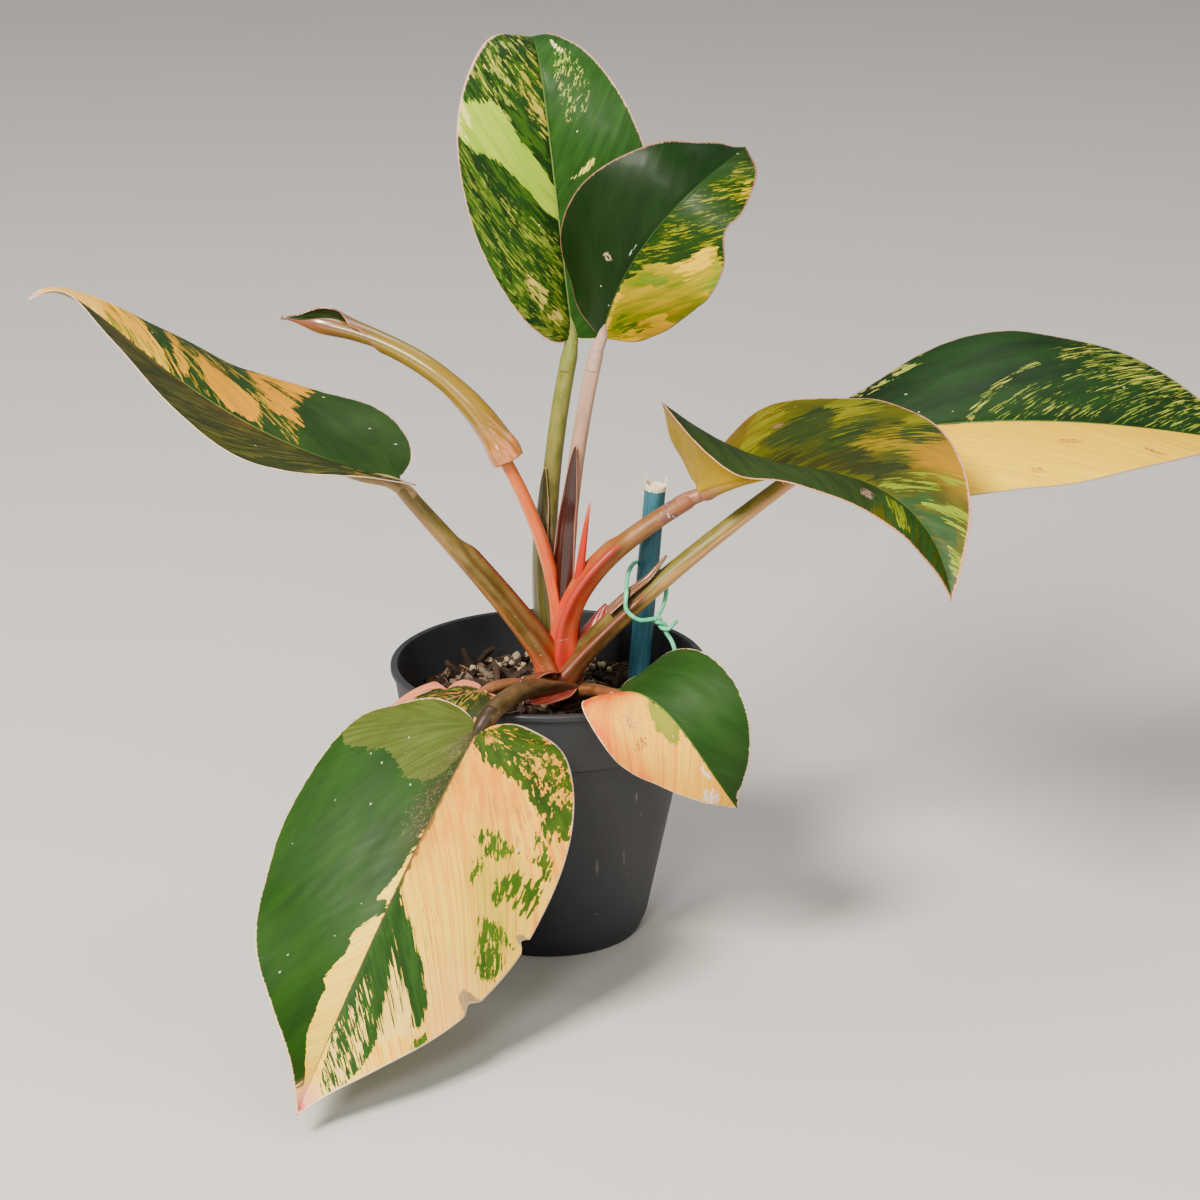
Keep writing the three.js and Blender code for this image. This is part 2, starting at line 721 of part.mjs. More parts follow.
function straightRod(foot, top, radius, sides, grow = 0) {
  const from = toVector(foot);
  const to = toVector(top);
  const curve = new THREE.LineCurve3(from, to);
  return rod(curve, [0, -1, 0.1], () => radius, sides, 1, grow);
}

// The crown: a stout stem in the soil that swells where the leaf bases clasp it
function crownRadius(share) {
  const swell = 1.6 * smooth((share - CROWN_SHARE_BELOW_SOIL) / (1 - CROWN_SHARE_BELOW_SOIL));
  const ring = 0.35 * Math.cos(share * 60);
  return CROWN_HOLE_RADIUS - 0.8 + (share > CROWN_SHARE_BELOW_SOIL ? swell + ring : 0);
}

function buildCrown(grow = 0) {
  const curve = new THREE.LineCurve3(toVector(CROWN_FOOT), toVector(CROWN_TOP));
  return rod(curve, [0, -1, 0.1], crownRadius, 16, 10, grow);
}

// The stake's cut top is raw, with a few splinters standing
function buildStake() {
  const body = straightRod(STAKE_FOOT, STAKE_TOP, STAKE_RADIUS, 20);
  const top = toVector(STAKE_TOP);
  const reach = 0.75 * STAKE_RADIUS;
  const splinters = SPLINTER_ANGLES.map((angle) => {
    const splinter = new THREE.CylinderGeometry(0.15, 0.8, SPLINTER_LENGTH, 5);
    splinter.rotateX(Math.PI / 2);
    splinter.translate(top.x + reach * Math.cos(angle), top.y + reach * Math.sin(angle), top.z + 0.6);
    return toSolid(splinter);
  });
  return wasm.Manifold.union([body, ...splinters]);
}

// The wire tie: one wire in a loop round the stake and the right back stalk, whose two ends are
// twisted round each other once and then part
const TIE_LOOP = [
  [44, -8, 137], [37, -9, 137], [32, -7.5, 141], [32, -4, 147], [32.5, 5, 151], [34, 14, 152],
  [37, 23, 151], [42.5, 24.5, 149], [47.5, 21, 146], [48.5, 12, 142], [47, 2, 139], [44.5, -5, 136.5],
];
const TIE_LOOP_FACE = [0.13, -0.2, 0.97];
const TIE_TWIST = [[44.5, -7, 136.5], [48.5, -9, 132.5]];
const TIE_SHORT_END = [[50, -9.5, 134], [52.5, -10, 137]];
const TIE_LONG_END = [[50.5, -10, 128], [53, -14, 121], [54, -18, 118]];

// One of the two strands of the twist, from the loop outward
function twistPoints(phase) {
  const [from, to] = TIE_TWIST.map(toVector);
  const axis = to.clone().sub(from).normalize();
  const up = new THREE.Vector3(0, -1, 0);
  const side = axis.clone().cross(up).normalize();
  const over = side.clone().cross(axis);
  return [0, 0.25, 0.5, 0.75, 1].map((share) => {
    const angle = phase + 2 * Math.PI * 0.9 * share;
    const point = from.clone().lerp(to, share);
    point.addScaledVector(side, TWIST_RADIUS * Math.cos(angle));
    return point.addScaledVector(over, TWIST_RADIUS * Math.sin(angle));
  });
}

function buildTie() {
  const longEnd = [...twistPoints(0), ...TIE_LONG_END.map(toVector)].reverse();
  const shortEnd = [...twistPoints(Math.PI), ...TIE_SHORT_END.map(toVector)];
  const curve = new THREE.CatmullRomCurve3([...longEnd, ...TIE_LOOP.map(toVector), ...shortEnd]);
  return rod(curve, TIE_LOOP_FACE, () => WIRE_RADIUS, WIRE_SIDES, WIRE_STEPS);
}

function buildShoot() {
  const radiusAt = (share) => lerp(...SHOOT.radii, share ** 1.6);
  return rod(toCurve(SHOOT.path), SHOOT.face, radiusAt, 10, 8);
}

// Bases that clasp the crown, from the front one to those behind: each is cut clear of the last
const STALK_ORDER = [
  'right_back', 'left', 'right_front', 'front_left', 'front_right', 'low_left',
  'back_right', 'back_left',
];

function addStalks() {
  const cutters = [buildCrown(GAP)];
  const rollStalk = () => {
    addNode('stalk_rolled', carve(buildStalk(ROLL_STALK), cutters), ROLL_STALK_LOOK);
    cutters.push(buildStalk(ROLL_STALK, GAP));
  };
  for (const name of STALK_ORDER) {
    const { stalk, stalkLook } = LEAVES[name];
    addNode(`stalk_${name}`, carve(buildStalk(stalk), cutters), stalkLook);
    cutters.push(buildStalk(stalk, GAP));
    if (name === 'right_front') rollStalk();
  }
  addNode('shoot_tip', carve(buildShoot(), cutters), SHOOT_LOOK);
}

function addBlades() {
  for (const [name, { blade, stalk, bladeLook }] of Object.entries(LEAVES)) {
    addNode(`blade_${name}`, carve(buildBlade(blade), [buildStalk(stalk, GAP)]), bladeLook);
  }
  addNode('rolled_leaf', carve(buildRoll(), [buildStalk(ROLL_STALK, GAP)]), ROLL_LOOK);
}

addNode('pot', buildPot(), material('#2b2d31', 0.62));
addNode('soil', buildSoil(), material('#4a3626', 0.95));
addNode('crown', buildCrown(), material('#7a3f2c', 0.55));
addNode('stake', buildStake(), material('#1f5563', 0.6));
addNode('wire_tie', buildTie(), material('#58c795', 0.45));
addStalks();
addBlades();

export default group;
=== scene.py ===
import math

import bmesh
import bpy
import numpy as np
from mathutils import Euler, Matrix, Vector


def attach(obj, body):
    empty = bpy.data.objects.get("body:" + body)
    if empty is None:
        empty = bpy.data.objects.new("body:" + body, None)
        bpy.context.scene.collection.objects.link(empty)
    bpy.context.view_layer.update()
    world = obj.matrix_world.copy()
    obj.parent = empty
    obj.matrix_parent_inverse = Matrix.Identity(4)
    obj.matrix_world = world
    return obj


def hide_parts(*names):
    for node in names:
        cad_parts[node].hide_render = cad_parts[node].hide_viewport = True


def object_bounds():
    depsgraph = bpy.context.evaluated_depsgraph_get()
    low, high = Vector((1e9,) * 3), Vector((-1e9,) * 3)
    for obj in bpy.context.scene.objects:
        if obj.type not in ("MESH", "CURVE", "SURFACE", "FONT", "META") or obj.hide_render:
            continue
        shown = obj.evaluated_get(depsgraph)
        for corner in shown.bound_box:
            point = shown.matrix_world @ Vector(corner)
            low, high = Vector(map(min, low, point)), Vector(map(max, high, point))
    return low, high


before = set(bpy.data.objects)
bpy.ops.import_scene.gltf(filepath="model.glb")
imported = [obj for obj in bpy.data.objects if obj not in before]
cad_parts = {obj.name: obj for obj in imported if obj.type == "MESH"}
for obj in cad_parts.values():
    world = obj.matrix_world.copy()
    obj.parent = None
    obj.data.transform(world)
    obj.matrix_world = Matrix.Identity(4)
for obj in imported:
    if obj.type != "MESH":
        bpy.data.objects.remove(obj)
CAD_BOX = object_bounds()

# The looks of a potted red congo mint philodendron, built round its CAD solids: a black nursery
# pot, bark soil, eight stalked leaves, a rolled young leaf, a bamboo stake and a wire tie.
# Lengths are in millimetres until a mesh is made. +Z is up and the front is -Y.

MM = 0.001
DEGREE = math.pi / 180
SEED = 7

# Pot and soil
POT_HEIGHT = 116
RIM_RADIUS = 65
LIP_HEIGHT = 2.4
BAND_TOP_RADIUS = 63.6
BAND_HEIGHT = 26
BAND_RADIUS = 60.2
LEDGE_STEP = 2.4
LEDGE_SLOPE = 1.2
RIM_EDGE = 0.5
CORNER_RADIUS = 0.35
FOOT_HEIGHT = 7
FOOT_RADIUS = 41
BASE_RADIUS = 38
WALL = 1.5
FLOOR = 2.2
POT_SIDES = 192
SOIL_LEVEL = 98
SOIL_BUMP = 1.6
SOIL_SIDES = 160
SOIL_RINGS = 56
SOIL_GAP = 0.3
CHIP_COUNT = 330
CHIP_REACH = 3.2
SHORT_CHIPS = 90
CHIPS_BEFORE_LONG = 230
PERLITE_COUNT = 46
PERLITE_REACH = 2.2
FIBRE_COUNT = 70
FIBRE_REACH = 9
FIBRE_STEPS = 14
FIBRE_SIDES = 7

# Crown, shoot tip, stake and wire
CROWN_FOOT = (8, 0, 60)
CROWN_TOP = (6, 0, 113)
CROWN_RADIUS = 6.6
CROWN_SHARE_BELOW_SOIL = 0.72
CROWN_STEPS = 120
CROWN_SIDES = 64
SHOOT_PATH = [(10, 5, 124), (12, 4, 146), (14, 3, 165), (17, 3, 183)]
SHOOT_RADII = (2.6, 0.5)
SHOOT_STEPS = 60
SHOOT_SIDES = 32
STAKE_FOOT = (31, 20, 26)
STAKE_TOP = (44, 17.5, 186)
STAKE_RADIUS = 4.4
STAKE_CUT = 0.985
STAKE_SIDES = 72
WIRE_RADIUS = 0.9
TWIST_RADIUS = 1.05
TIE_STEPS = 420
TIE_SIDES = 20

# Leaf blades: one outline for the species, scaled to each leaf
HALF_THICKNESS = 0.3
EDGE_HALF_THICKNESS = 0.16
MIDRIB_DEPTH = 1.5
NECK = 2.4
VEIN_SWEEP = 1.25
SHOULDER = 0.42
BLADE_ROWS = 150
HALF_COLUMNS = 34
LAST_COLUMN = 0.985
VEIN_SPACING = 5.5
VEIN_RELIEF = 0.035
VEIN_SLOPE = 1.2
VEIN_BEND = 0.45
VEIN_STRETCH = 1.8
LOBE_FAN = 30
GROOVE_WIDTH = 1.1
GROOVE_DEPTH = 0.3
UNDERSIDE = "7c8a3c"

# Leaf stalks, their sheaths, the bracts beside them and the ribs that they end in under the blades
STALK_SIDES = 48
STALK_STEPS = 90
WING_ANGLE = 60 * DEGREE
WING_SPREAD = 20 * DEGREE
SHEATH_GRID = (81, 33)
SHEATH_HALF_THICKNESS = 0.4
SHEATH_EDGE_HALF_THICKNESS = 0.2
BRACT_GRID = (41, 21)
BRACT_HALF_THICKNESS = 0.5
BRACT_EDGE_HALF_THICKNESS = 0.25
RIB_REACH = 0.46
RIB_END_RADIUS = 0.6
RIB_STEPS = 110
RIB_SIDES = 28


# Curves and grids of points

def lerp(start, end, share):
    return start + (end - start) * share


def smooth(share):
    return 0.5 - 0.5 * np.cos(np.pi * np.clip(share, 0, 1))


def hump(offset):
    """1 at an offset of 0, and falling to 0 on either side."""
    return np.exp(-(offset**2))


def unit(vectors):
    vectors = np.asarray(vectors, float)
    return vectors / np.linalg.norm(vectors, axis=-1, keepdims=True)


def along_three(values, share):
    base, middle, tip = values
    return base + (middle - base) * smooth(share * 2) + (tip - middle) * smooth(share * 2 - 1)


def along_list(pairs, share):
    """Values at shares, read off (share, value) pairs that are smoothly joined."""
    places, values = np.array(pairs, float).T
    step = np.clip(np.searchsorted(places, share) - 1, 0, len(places) - 2)
    part = (share - places[step]) / (places[step + 1] - places[step])
    return lerp(values[step], values[step + 1], smooth(part))


def bezier(path, share):
    start, first, second, end = np.array(path, float)
    t = np.asarray(share, float)[..., None]
    ends = (1 - t) ** 3 * start + t**3 * end
    return ends + 3 * (1 - t) ** 2 * t * first + 3 * (1 - t) * t**2 * second


def bezier_way(path, share):
    start, first, second, end = np.array(path, float)
    t = np.asarray(share, float)[..., None]
    bend = 2 * (1 - t) * t * (second - first)
    return unit((1 - t) ** 2 * (first - start) + bend + t**2 * (end - second))


def curve_lengths(path, count=400):
    shares = np.linspace(0, 1, count + 1)
    steps = np.linalg.norm(np.diff(bezier(path, shares), axis=0), axis=1)
    return shares, np.concatenate([[0], np.cumsum(steps)])


def frames_on(path, share, face_base, face_tip=None):
    """Points on a curve with its way, the way its upper face looks and its right side."""
    point = bezier(path, share)
    way = bezier_way(path, share)
    t = np.asarray(share, float)[..., None]
    face = lerp(unit(face_base), unit(face_tip or face_base), t)
    up = unit(face - np.sum(face * way, -1, keepdims=True) * way)
    return point, way, up, np.cross(way, up)


def beside(frames, sideways, upward):
    """Points that lie to the right of a curve's frames and above them."""
    point, _, up, right = frames
    return point + right * sideways[..., None] + up * upward[..., None]


def catmull_rom(points, count):
    """A centripetal curve through points, at even steps of its own length."""
    points = np.asarray(points, float)
    chain = np.concatenate([2 * points[:1] - points[1:2], points, 2 * points[-1:] - points[-2:-1]])
    samples = []
    for near in zip(chain[:-3], chain[1:-2], chain[2:-1], chain[3:]):
        knots = np.cumsum([0, *np.linalg.norm(np.diff(near, axis=0), axis=1) ** 0.5])
        t = np.linspace(knots[1], knots[2], 24, endpoint=False)[:, None]
        for low, high in (((0, 1, 2), (1, 2, 3)), ((0, 1), (2, 3)), ((1,), (2,))):
            near = [lerp(start, end, (t - knots[i]) / (knots[j] - knots[i]))
                    for start, end, i, j in zip(near, near[1:], low, high)]
        samples.append(near[0])
    samples = np.concatenate(samples + [points[-1:]])
    lengths = np.concatenate([[0], np.cumsum(np.linalg.norm(np.diff(samples, axis=0), axis=1))])
    even = np.linspace(0, lengths[-1], count)
    return np.stack([np.interp(even, lengths, samples[:, k]) for k in range(3)], -1)


def waves(places, seed, count=4):
    """A smooth random line between about -1 and 1, with a period near 1 place."""
    random = np.random.default_rng(seed)
    total = np.zeros_like(np.asarray(places, float))
    for _ in range(count):
        total += np.sin(2 * np.pi * (places * random.uniform(0.5, 1.6) + random.random()))
    return total / count * 1.4


def grid_quads(rows, columns, wrap=False):
    """Corner numbers of the quads of a grid of rows x columns points."""
    across = columns if wrap else columns - 1
    i, j = np.meshgrid(np.arange(rows - 1), np.arange(across), indexing="ij")
    a = i * columns + j
    b = i * columns + (j + 1) % columns
    return np.stack([a, b, b + columns, a + columns], -1).reshape(-1, 4)


def angles_round(steps, sides):
    """The angles round a rod at each of its steps: 0 looks up and -pi looks down."""
    return np.tile(np.linspace(-math.pi, math.pi, sides, endpoint=False), (steps, 1))


# Closed bodies, as points and faces

def sheet_normals(middle):
    along = np.gradient(middle, axis=0)
    across = np.gradient(middle, axis=1)
    return unit(np.cross(across, along))


def closed_sheet(middle, above, below):
    """A thin closed sheet round a grid of middle points."""
    rows, columns = middle.shape[:2]
    count = rows * columns
    normals = sheet_normals(middle)
    upper = middle + normals * above[..., None]
    lower = middle - normals * below[..., None]
    top = grid_quads(rows, columns)
    index = np.arange(count).reshape(rows, columns)
    ring = np.concatenate([index[0, :-1], index[:-1, -1], index[-1, :0:-1], index[:0:-1, 0]])
    after = np.roll(ring, -1)
    rim = np.stack([ring, ring + count, after + count, after], -1)
    points = np.concatenate([upper.reshape(-1, 3), lower.reshape(-1, 3)])
    return points, np.concatenate([top, top[:, ::-1] + count, rim]).tolist()


def capped(rings, foot, head, turn=1):
    """Rings of points, joined, with a point at either end. A turn of -1 turns the quads over."""
    rows, sides = rings.shape[:2]
    points = np.concatenate([rings.reshape(-1, 3), [foot, head]])
    faces = grid_quads(rows, sides, wrap=True)[:, ::turn].tolist()
    for end, ring in enumerate((np.arange(sides), np.arange(sides) + (rows - 1) * sides)):
        faces += [(rows * sides + end, a, b) for a, b in zip(ring, np.roll(ring, -1))]
    return points, faces


def tube(frames, radius, angle):
    """A rod along frames. Radius and angle are grids of steps x sides."""
    rings = beside([lines[:, None] for lines in frames], radius * np.sin(angle), radius * np.cos(angle))
    return capped(rings, frames[0][0], frames[0][-1], -1)


def wire_tube(points, radius, sides, face=(0, 0, 1)):
    """A round rod along points that lie close together, with a radius at each."""
    way = unit(np.gradient(points, axis=0))
    ups = [np.array(face, float)]
    for direction in way:
        ups.append(unit(ups[-1] - ups[-1] @ direction * direction))
    ups = np.array(ups[1:])
    frames = (points, way, ups, np.cross(way, ups))
    return tube(frames, radius[:, None], angles_round(len(points), sides))


def lathe(profile, sides):
    """A solid of revolution whose profile starts and ends on the axis."""
    angle = np.linspace(0, 2 * math.pi, sides, endpoint=False)
    reach, height = profile[1:-1, :1], profile[1:-1, 1:]
    rings = np.broadcast_arrays(reach * np.cos(angle), reach * np.sin(angle), height)
    return capped(np.stack(rings, -1), (0, 0, profile[0, 1]), (0, 0, profile[-1, 1]))


# Numbers that a material reads at each point of a mesh

def twice(**values):
    """Numbers on a sheet's grid, for its upper and then for its lower points."""
    return {label: np.tile(numbers.ravel(), 2) for label, numbers in values.items()}


def two_faced(along, **values):
    """The same, with a number that tells the upper face from the lower one."""
    return {**twice(along=along, **values), "face": np.repeat([1, 0], along.size)}


def rod_values(path, share, around, **values):
    """Numbers on a rod's grid and at its two end points."""
    lengths = np.interp(share, *curve_lengths(path))
    along, share = (np.repeat(line[:, None], around.shape[1], 1) for line in (lengths, share))
    values = {"along": along, "share": share, "round": around, **values}
    return {label: np.append(grid, [grid[0].mean(), grid[-1].mean()]) for label, grid in values.items()}


# Pieces

def add_piece(name, node, body, look, values=None, smooth_faces=True):
    """A mesh piece that stands for a CAD node. values are its vertices' named numbers."""
    points, faces = body
    mesh = bpy.data.meshes.new(name)
    inside_box = np.clip(np.asarray(points, float) * MM, *CAD_BOX)
    mesh.from_pydata(inside_box.tolist(), [], faces)
    for label, numbers in (values or {}).items():
        column = mesh.attributes.new(label, "FLOAT", "POINT")
        column.data.foreach_set("value", np.asarray(numbers, np.float32))
    mesh.polygons.foreach_set("use_smooth", [smooth_faces] * len(mesh.polygons))
    mesh.materials.append(look)
    piece = bpy.data.objects.new(name, mesh)
    bpy.context.scene.collection.objects.link(piece)
    fix_faces(mesh)
    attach(piece, "root")
    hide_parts(node)


def fix_faces(mesh):
    """All faces look outward, and faces without area are gone."""
    work = bmesh.new()
    work.from_mesh(mesh)
    bmesh.ops.dissolve_degenerate(work, dist=1e-7, edges=work.edges)
    bmesh.ops.recalc_face_normals(work, faces=work.faces)
    work.to_mesh(mesh)
    work.free()


# Materials

def linear(text):
    """A colour written as six hexadecimal digits, as the shader's linear numbers."""
    shares = [int(text[i:i + 2], 16) / 255 for i in (0, 2, 4)]
    return (*[s / 12.92 if s < 0.04045 else ((s + 0.055) / 1.055) ** 2.4 for s in shares], 1)


class Value:
    """What a material's node gives out. Sums with it add math nodes."""

    def __init__(self, shade, socket):
        self.shade = shade
        self.socket = socket

    def math(self, operation, *others):
        return self.shade.add("ShaderNodeMath", dict(enumerate([self, *others])), operation=operation)

    def __add__(self, other):
        return self.math("ADD", other)

    def __sub__(self, other):
        return self.math("SUBTRACT", other)

    def __mul__(self, other):
        return self.math("MULTIPLY", other)

    def __truediv__(self, other):
        return self.math("DIVIDE", other)

    def __abs__(self):
        return self.math("ABSOLUTE")


class Shade:
    """A procedural material. Its methods add nodes and give back what they give out."""

    def __init__(self, name):
        self.material = bpy.data.materials.new(name)
        self.material.use_nodes = True
        self.tree = self.material.node_tree

    def put(self, socket, value):
        if isinstance(value, Value):
            self.tree.links.new(value.socket, socket)
        else:
            socket.default_value = linear(value) if isinstance(value, str) else value

    def node(self, kind, inputs, **settings):
        node = self.tree.nodes.new(kind)
        for label, value in settings.items():
            setattr(node, label, value)
        for key, value in inputs.items():
            self.put(node.inputs[key], value)
        return node

    def add(self, kind, inputs, output=0, **settings):
        return Value(self, self.node(kind, inputs, **settings).outputs[output])

    def numbers(self, *labels):
        return [self.add("ShaderNodeAttribute", {}, "Fac", attribute_name=label) for label in labels]

    def step(self, value, start, end, low=0.0, high=1.0):
        """Goes smoothly from low to high as value goes from start to end."""
        inputs = {"Value": value, "From Min": start, "From Max": end, "To Min": low, "To Max": high}
        return self.add("ShaderNodeMapRange", inputs, interpolation_type="SMOOTHSTEP")

    def mix(self, factor, a, b):
        return self.add("ShaderNodeMix", {0: factor, 6: a, 7: b}, 2, data_type="RGBA")

    def vector(self, x, y, z):
        return self.add("ShaderNodeCombineXYZ", {0: x, 1: y, 2: z})

    def noise(self, vector, scale=1.0, detail=2.0, roughness=0.5):
        inputs = {"Vector": vector, "Scale": scale, "Detail": detail, "Roughness": roughness}
        return self.add("ShaderNodeTexNoise", inputs)

    def even_noise(self, vector, scale=1.0, detail=2.0, roughness=0.5):
        """Noise whose values fill 0 to 1 about evenly."""
        return self.step(self.noise(vector, scale, detail, roughness), 0.28, 0.72)

    def ramp(self, value, stops):
        node = self.node("ShaderNodeValToRGB", {0: value})
        bar = node.color_ramp
        for place, text in stops[1:-1]:
            bar.elements.new(place)
        for element, (place, text) in zip(bar.elements, stops):
            element.position = place
            element.color = linear(text)
        return Value(self, node.outputs[0])

    def cells(self, vector, scale):
        """A random pattern of cells: how far off a cell's middle is, and each cell's own number."""
        node = self.node("ShaderNodeTexVoronoi", {"Vector": vector, "Scale": scale})
        number = self.add("ShaderNodeSeparateColor", {0: Value(self, node.outputs["Color"])})
        return Value(self, node.outputs["Distance"]), number

    def specks(self, vector, scale, size, share):
        """Small round spots in a share of the cells of a random pattern."""
        distance, number = self.cells(vector, scale)
        return self.step(distance, size, size * 0.6) * number.math("LESS_THAN", share)

    def place(self):
        """Places in millimetres."""
        place = self.add("ShaderNodeNewGeometry", {}, "Position")
        return self.add("ShaderNodeVectorMath", {0: place, "Scale": 1 / MM}, operation="SCALE")

    def finish(self, colour, roughness, specular, height=None, strength=0.2, depth=0.2, coat=(0, 0.03)):
        """Wires the surface. Depth is in millimetres, and a coat is its weight and roughness."""
        inputs = {"Base Color": colour, "Roughness": roughness, "Specular IOR Level": specular,
                  "Coat Weight": coat[0], "Coat Roughness": coat[1]}
        if height is not None:
            bump = {"Height": height, "Strength": strength, "Distance": depth * MM}
            inputs["Normal"] = self.add("ShaderNodeBump", bump)
        for label, value in inputs.items():
            self.put(self.tree.nodes["Principled BSDF"].inputs[label], value)
        return self.material


def mottled_look(name, colours, grain, roughness, specular, strength, depth):
    """Two colours in a noise. Grain is the noise's scale, detail and roughness."""
    shade = Shade(name)
    mottle = shade.even_noise(shade.place(), *grain)
    return shade.finish(shade.mix(mottle, *colours.split()), roughness, specular, mottle, strength, depth)


def toned_look(name, stops, dark, share, grain, specular, strength, depth):
    """Small bodies with a tone each, and a share of dark grain in all of them."""
    shade = Shade(name)
    tone, = shade.numbers("tone")
    mottle = shade.even_noise(shade.place(), *grain)
    colour = shade.mix(mottle * share, shade.ramp(tone, stops), dark)
    return shade.finish(colour, 0.85, specular, mottle, strength, depth)


# Leaf blades

WHOLE_RIGHT = "-10,2 105,2 105,110 -10,110"
WHOLE_LEFT = "-10,-2 105,-2 105,-110 -10,-110"


def half(fold, cup, **shape):
    return {"fold": fold, "cup": cup, "width": 1, "dents": [], **shape}


def layer(colours, *outlines, cover=1.15, ragged=1.6, grain=(2.2, 12), veined=None, soft=0):
    """A marking: its two colours, the outlines that hold it in percent of the blade's length and
    half width, the share of them that it covers, the width of its ragged edge and the size of
    its flecks across and along the veins, in millimetres. A veined one has fine lines of a
    third colour, as strong as the number says. A soft one is a tint of that strength."""
    outlines = [np.array([point.split(",") for point in outline.split()], float) for outline in outlines]
    across = np.concatenate(outlines)[:, 1]
    side = 1 if across.min() > -10 else -1 if across.max() < 10 else 0
    return {"colours": colours.split(), "outlines": outlines, "cover": cover, "ragged": ragged,
            "grain": grain, "veined": veined, "soft": soft, "side": side}


def tint(colour, strength, *outlines, ragged=12):
    """A soft tint of the blade inside outlines, with a wide blurred edge."""
    return layer(f"{colour} {colour}", *outlines, ragged=ragged, soft=strength)


def margin_at(share, length, half_width, lobe, belly):
    """The species outline of one half: how far along and how far out the margin lies."""
    widest = belly * length
    to_shoulder = [
        (0, NECK),
        (-1.5 * lobe * length, 0.3 * half_width),
        (widest - (0.36 + 0.6 * lobe) * length, half_width),
        (widest, half_width),
    ]
    to_tip = [
        (widest, half_width),
        (widest + 0.26 * length, half_width),
        (0.88 * length, 0.2 * half_width),
        (length, 0.5),
    ]
    low = bezier(to_shoulder, np.clip(share / SHOULDER, 0, 1))
    high = bezier(to_tip, np.clip((share - SHOULDER) / (1 - SHOULDER), 0, 1))
    return np.where((share < SHOULDER)[..., None], low, high)


def dented_share(along, dents):
    """The share of its width that a half keeps where it is dented or swollen."""
    share = np.ones_like(along)
    for place, reach, depth in dents:
        share *= 1 - depth * hump((along - place) / reach)
    return share


def bitten(bites, along, outward):
    """How far out a point lies once the torn notches of its half are taken off the margin."""
    shrink = np.zeros_like(along)
    for place, width, depth in bites:
        shrink = np.maximum(shrink, depth * np.clip(1 - np.abs(along - place) / width, 0, 1))
    return outward * (1 - shrink * smooth((outward - 0.2) / 0.8))


def vein_number(place, reach, half_width):
    """Which side vein a point lies on: veins sweep toward the tip, and fan out in the lobes."""
    swept = VEIN_SLOPE * reach + VEIN_BEND * reach**2 / half_width
    behind = np.arctan2(reach, place) - np.arctan2(reach, swept)
    return np.where(place > swept, place - swept, -LOBE_FAN * behind) / VEIN_STRETCH


def half_blade(leaf, side, sign, columns):
    """Half of a blade's middle surface on a grid, with each point's place in the flat leaf."""
    shares, lengths = curve_lengths(leaf["path"])
    length, half_width = lengths[-1], leaf["half_width"]
    part = {"lobe": leaf["lobe"], "belly": leaf["belly"], **leaf[side]}
    along, outward = np.meshgrid(np.linspace(0, 1, BLADE_ROWS + 1), columns, indexing="ij")
    margin = margin_at(along, length, part["width"] * half_width, part["lobe"], part["belly"])
    width = margin[..., 1] * dented_share(along, part["dents"])
    kept = bitten(leaf.get("bites", {}).get(side, []), along, outward)
    rib = length * along**VEIN_SWEEP
    place = rib + (margin[..., 0] - rib) * kept**1.5
    reach = width * kept
    share = np.clip(place / length, 0, 1)
    time = np.interp(share * length, lengths, shares)
    point, way, up, right = frames_on(leaf["path"], time, leaf["face_base"], leaf["face_tip"])
    point = point + way * np.minimum(place, 0)[..., None]
    fold = along_three(part["fold"], share) * DEGREE
    bend = part["cup"] / half_width
    sideways = (np.sin(fold) - np.sin(fold - bend * reach)) / bend
    upward = (np.cos(fold - bend * reach) - np.cos(fold)) / bend
    ends = smooth(along / 0.12) * smooth((1 - along) / 0.15)
    ripple = leaf.get("ripple", 0.8) * outward**3 * ends
    return {
        "points": beside((point, way, up, right), sign * sideways, upward),
        "lift": ripple * waves(along * 4.5 + 3 * sign, SEED + int(half_width)),
        "along": along,
        "across": sign * outward,
        "vein": vein_number(place, reach, half_width),
        "out": sign * reach,
        "edge": width * (1 - outward),
    }


def blade_grid(leaf):
    """Both halves as one grid, rippled, with its columns closer together at rib and margin."""
    step = np.linspace(0, 1, HALF_COLUMNS)
    outward = np.append(0.5 * step**1.6 + 0.5 * step, [LAST_COLUMN, 1])
    outward = np.unique(np.where(outward > 0.97, np.maximum(outward, LAST_COLUMN), outward))
    left = half_blade(leaf, "left", -1, outward[:0:-1])
    right = half_blade(leaf, "right", 1, outward)
    grid = {label: np.concatenate([left[label], right[label]], 1) for label in left}
    grid["points"] = grid["points"] + sheet_normals(grid["points"]) * grid["lift"][..., None]
    return grid


def outline_distance(outline, x, y):
    """Signed distance to a closed outline, positive inside it."""
    nearest = np.full(x.shape, 1e9)
    inside = np.zeros(x.shape, bool)
    for (ax, ay), (bx, by) in zip(outline, np.roll(outline, -1, axis=0)):
        dx, dy = bx - ax, by - ay
        share = np.clip(((x - ax) * dx + (y - ay) * dy) / max(dx * dx + dy * dy, 1e-9), 0, 1)
        nearest = np.minimum(nearest, np.hypot(x - ax - share * dx, y - ay - share * dy))
        if ay != by:
            crosses = (ay > y) != (by > y)
            inside ^= crosses & (x < ax + (y - ay) / (by - ay) * dx)
    return np.where(inside, nearest, -nearest)


def blade_values(leaf, grid, length):
    """The numbers that a blade's material reads at each of its points."""
    size = np.array([length, leaf["half_width"]])
    x, y = grid["along"] * size[0], grid["across"] * size[1]
    values = {label: grid[label] for label in ("vein", "out", "edge")}
    for k, marking in enumerate(leaf["layers"]):
        distances = [outline_distance(outline / 100 * size, x, y) for outline in marking["outlines"]]
        values[f"patch_{k}"] = np.max(distances, axis=0)
    return two_faced(x, **values)


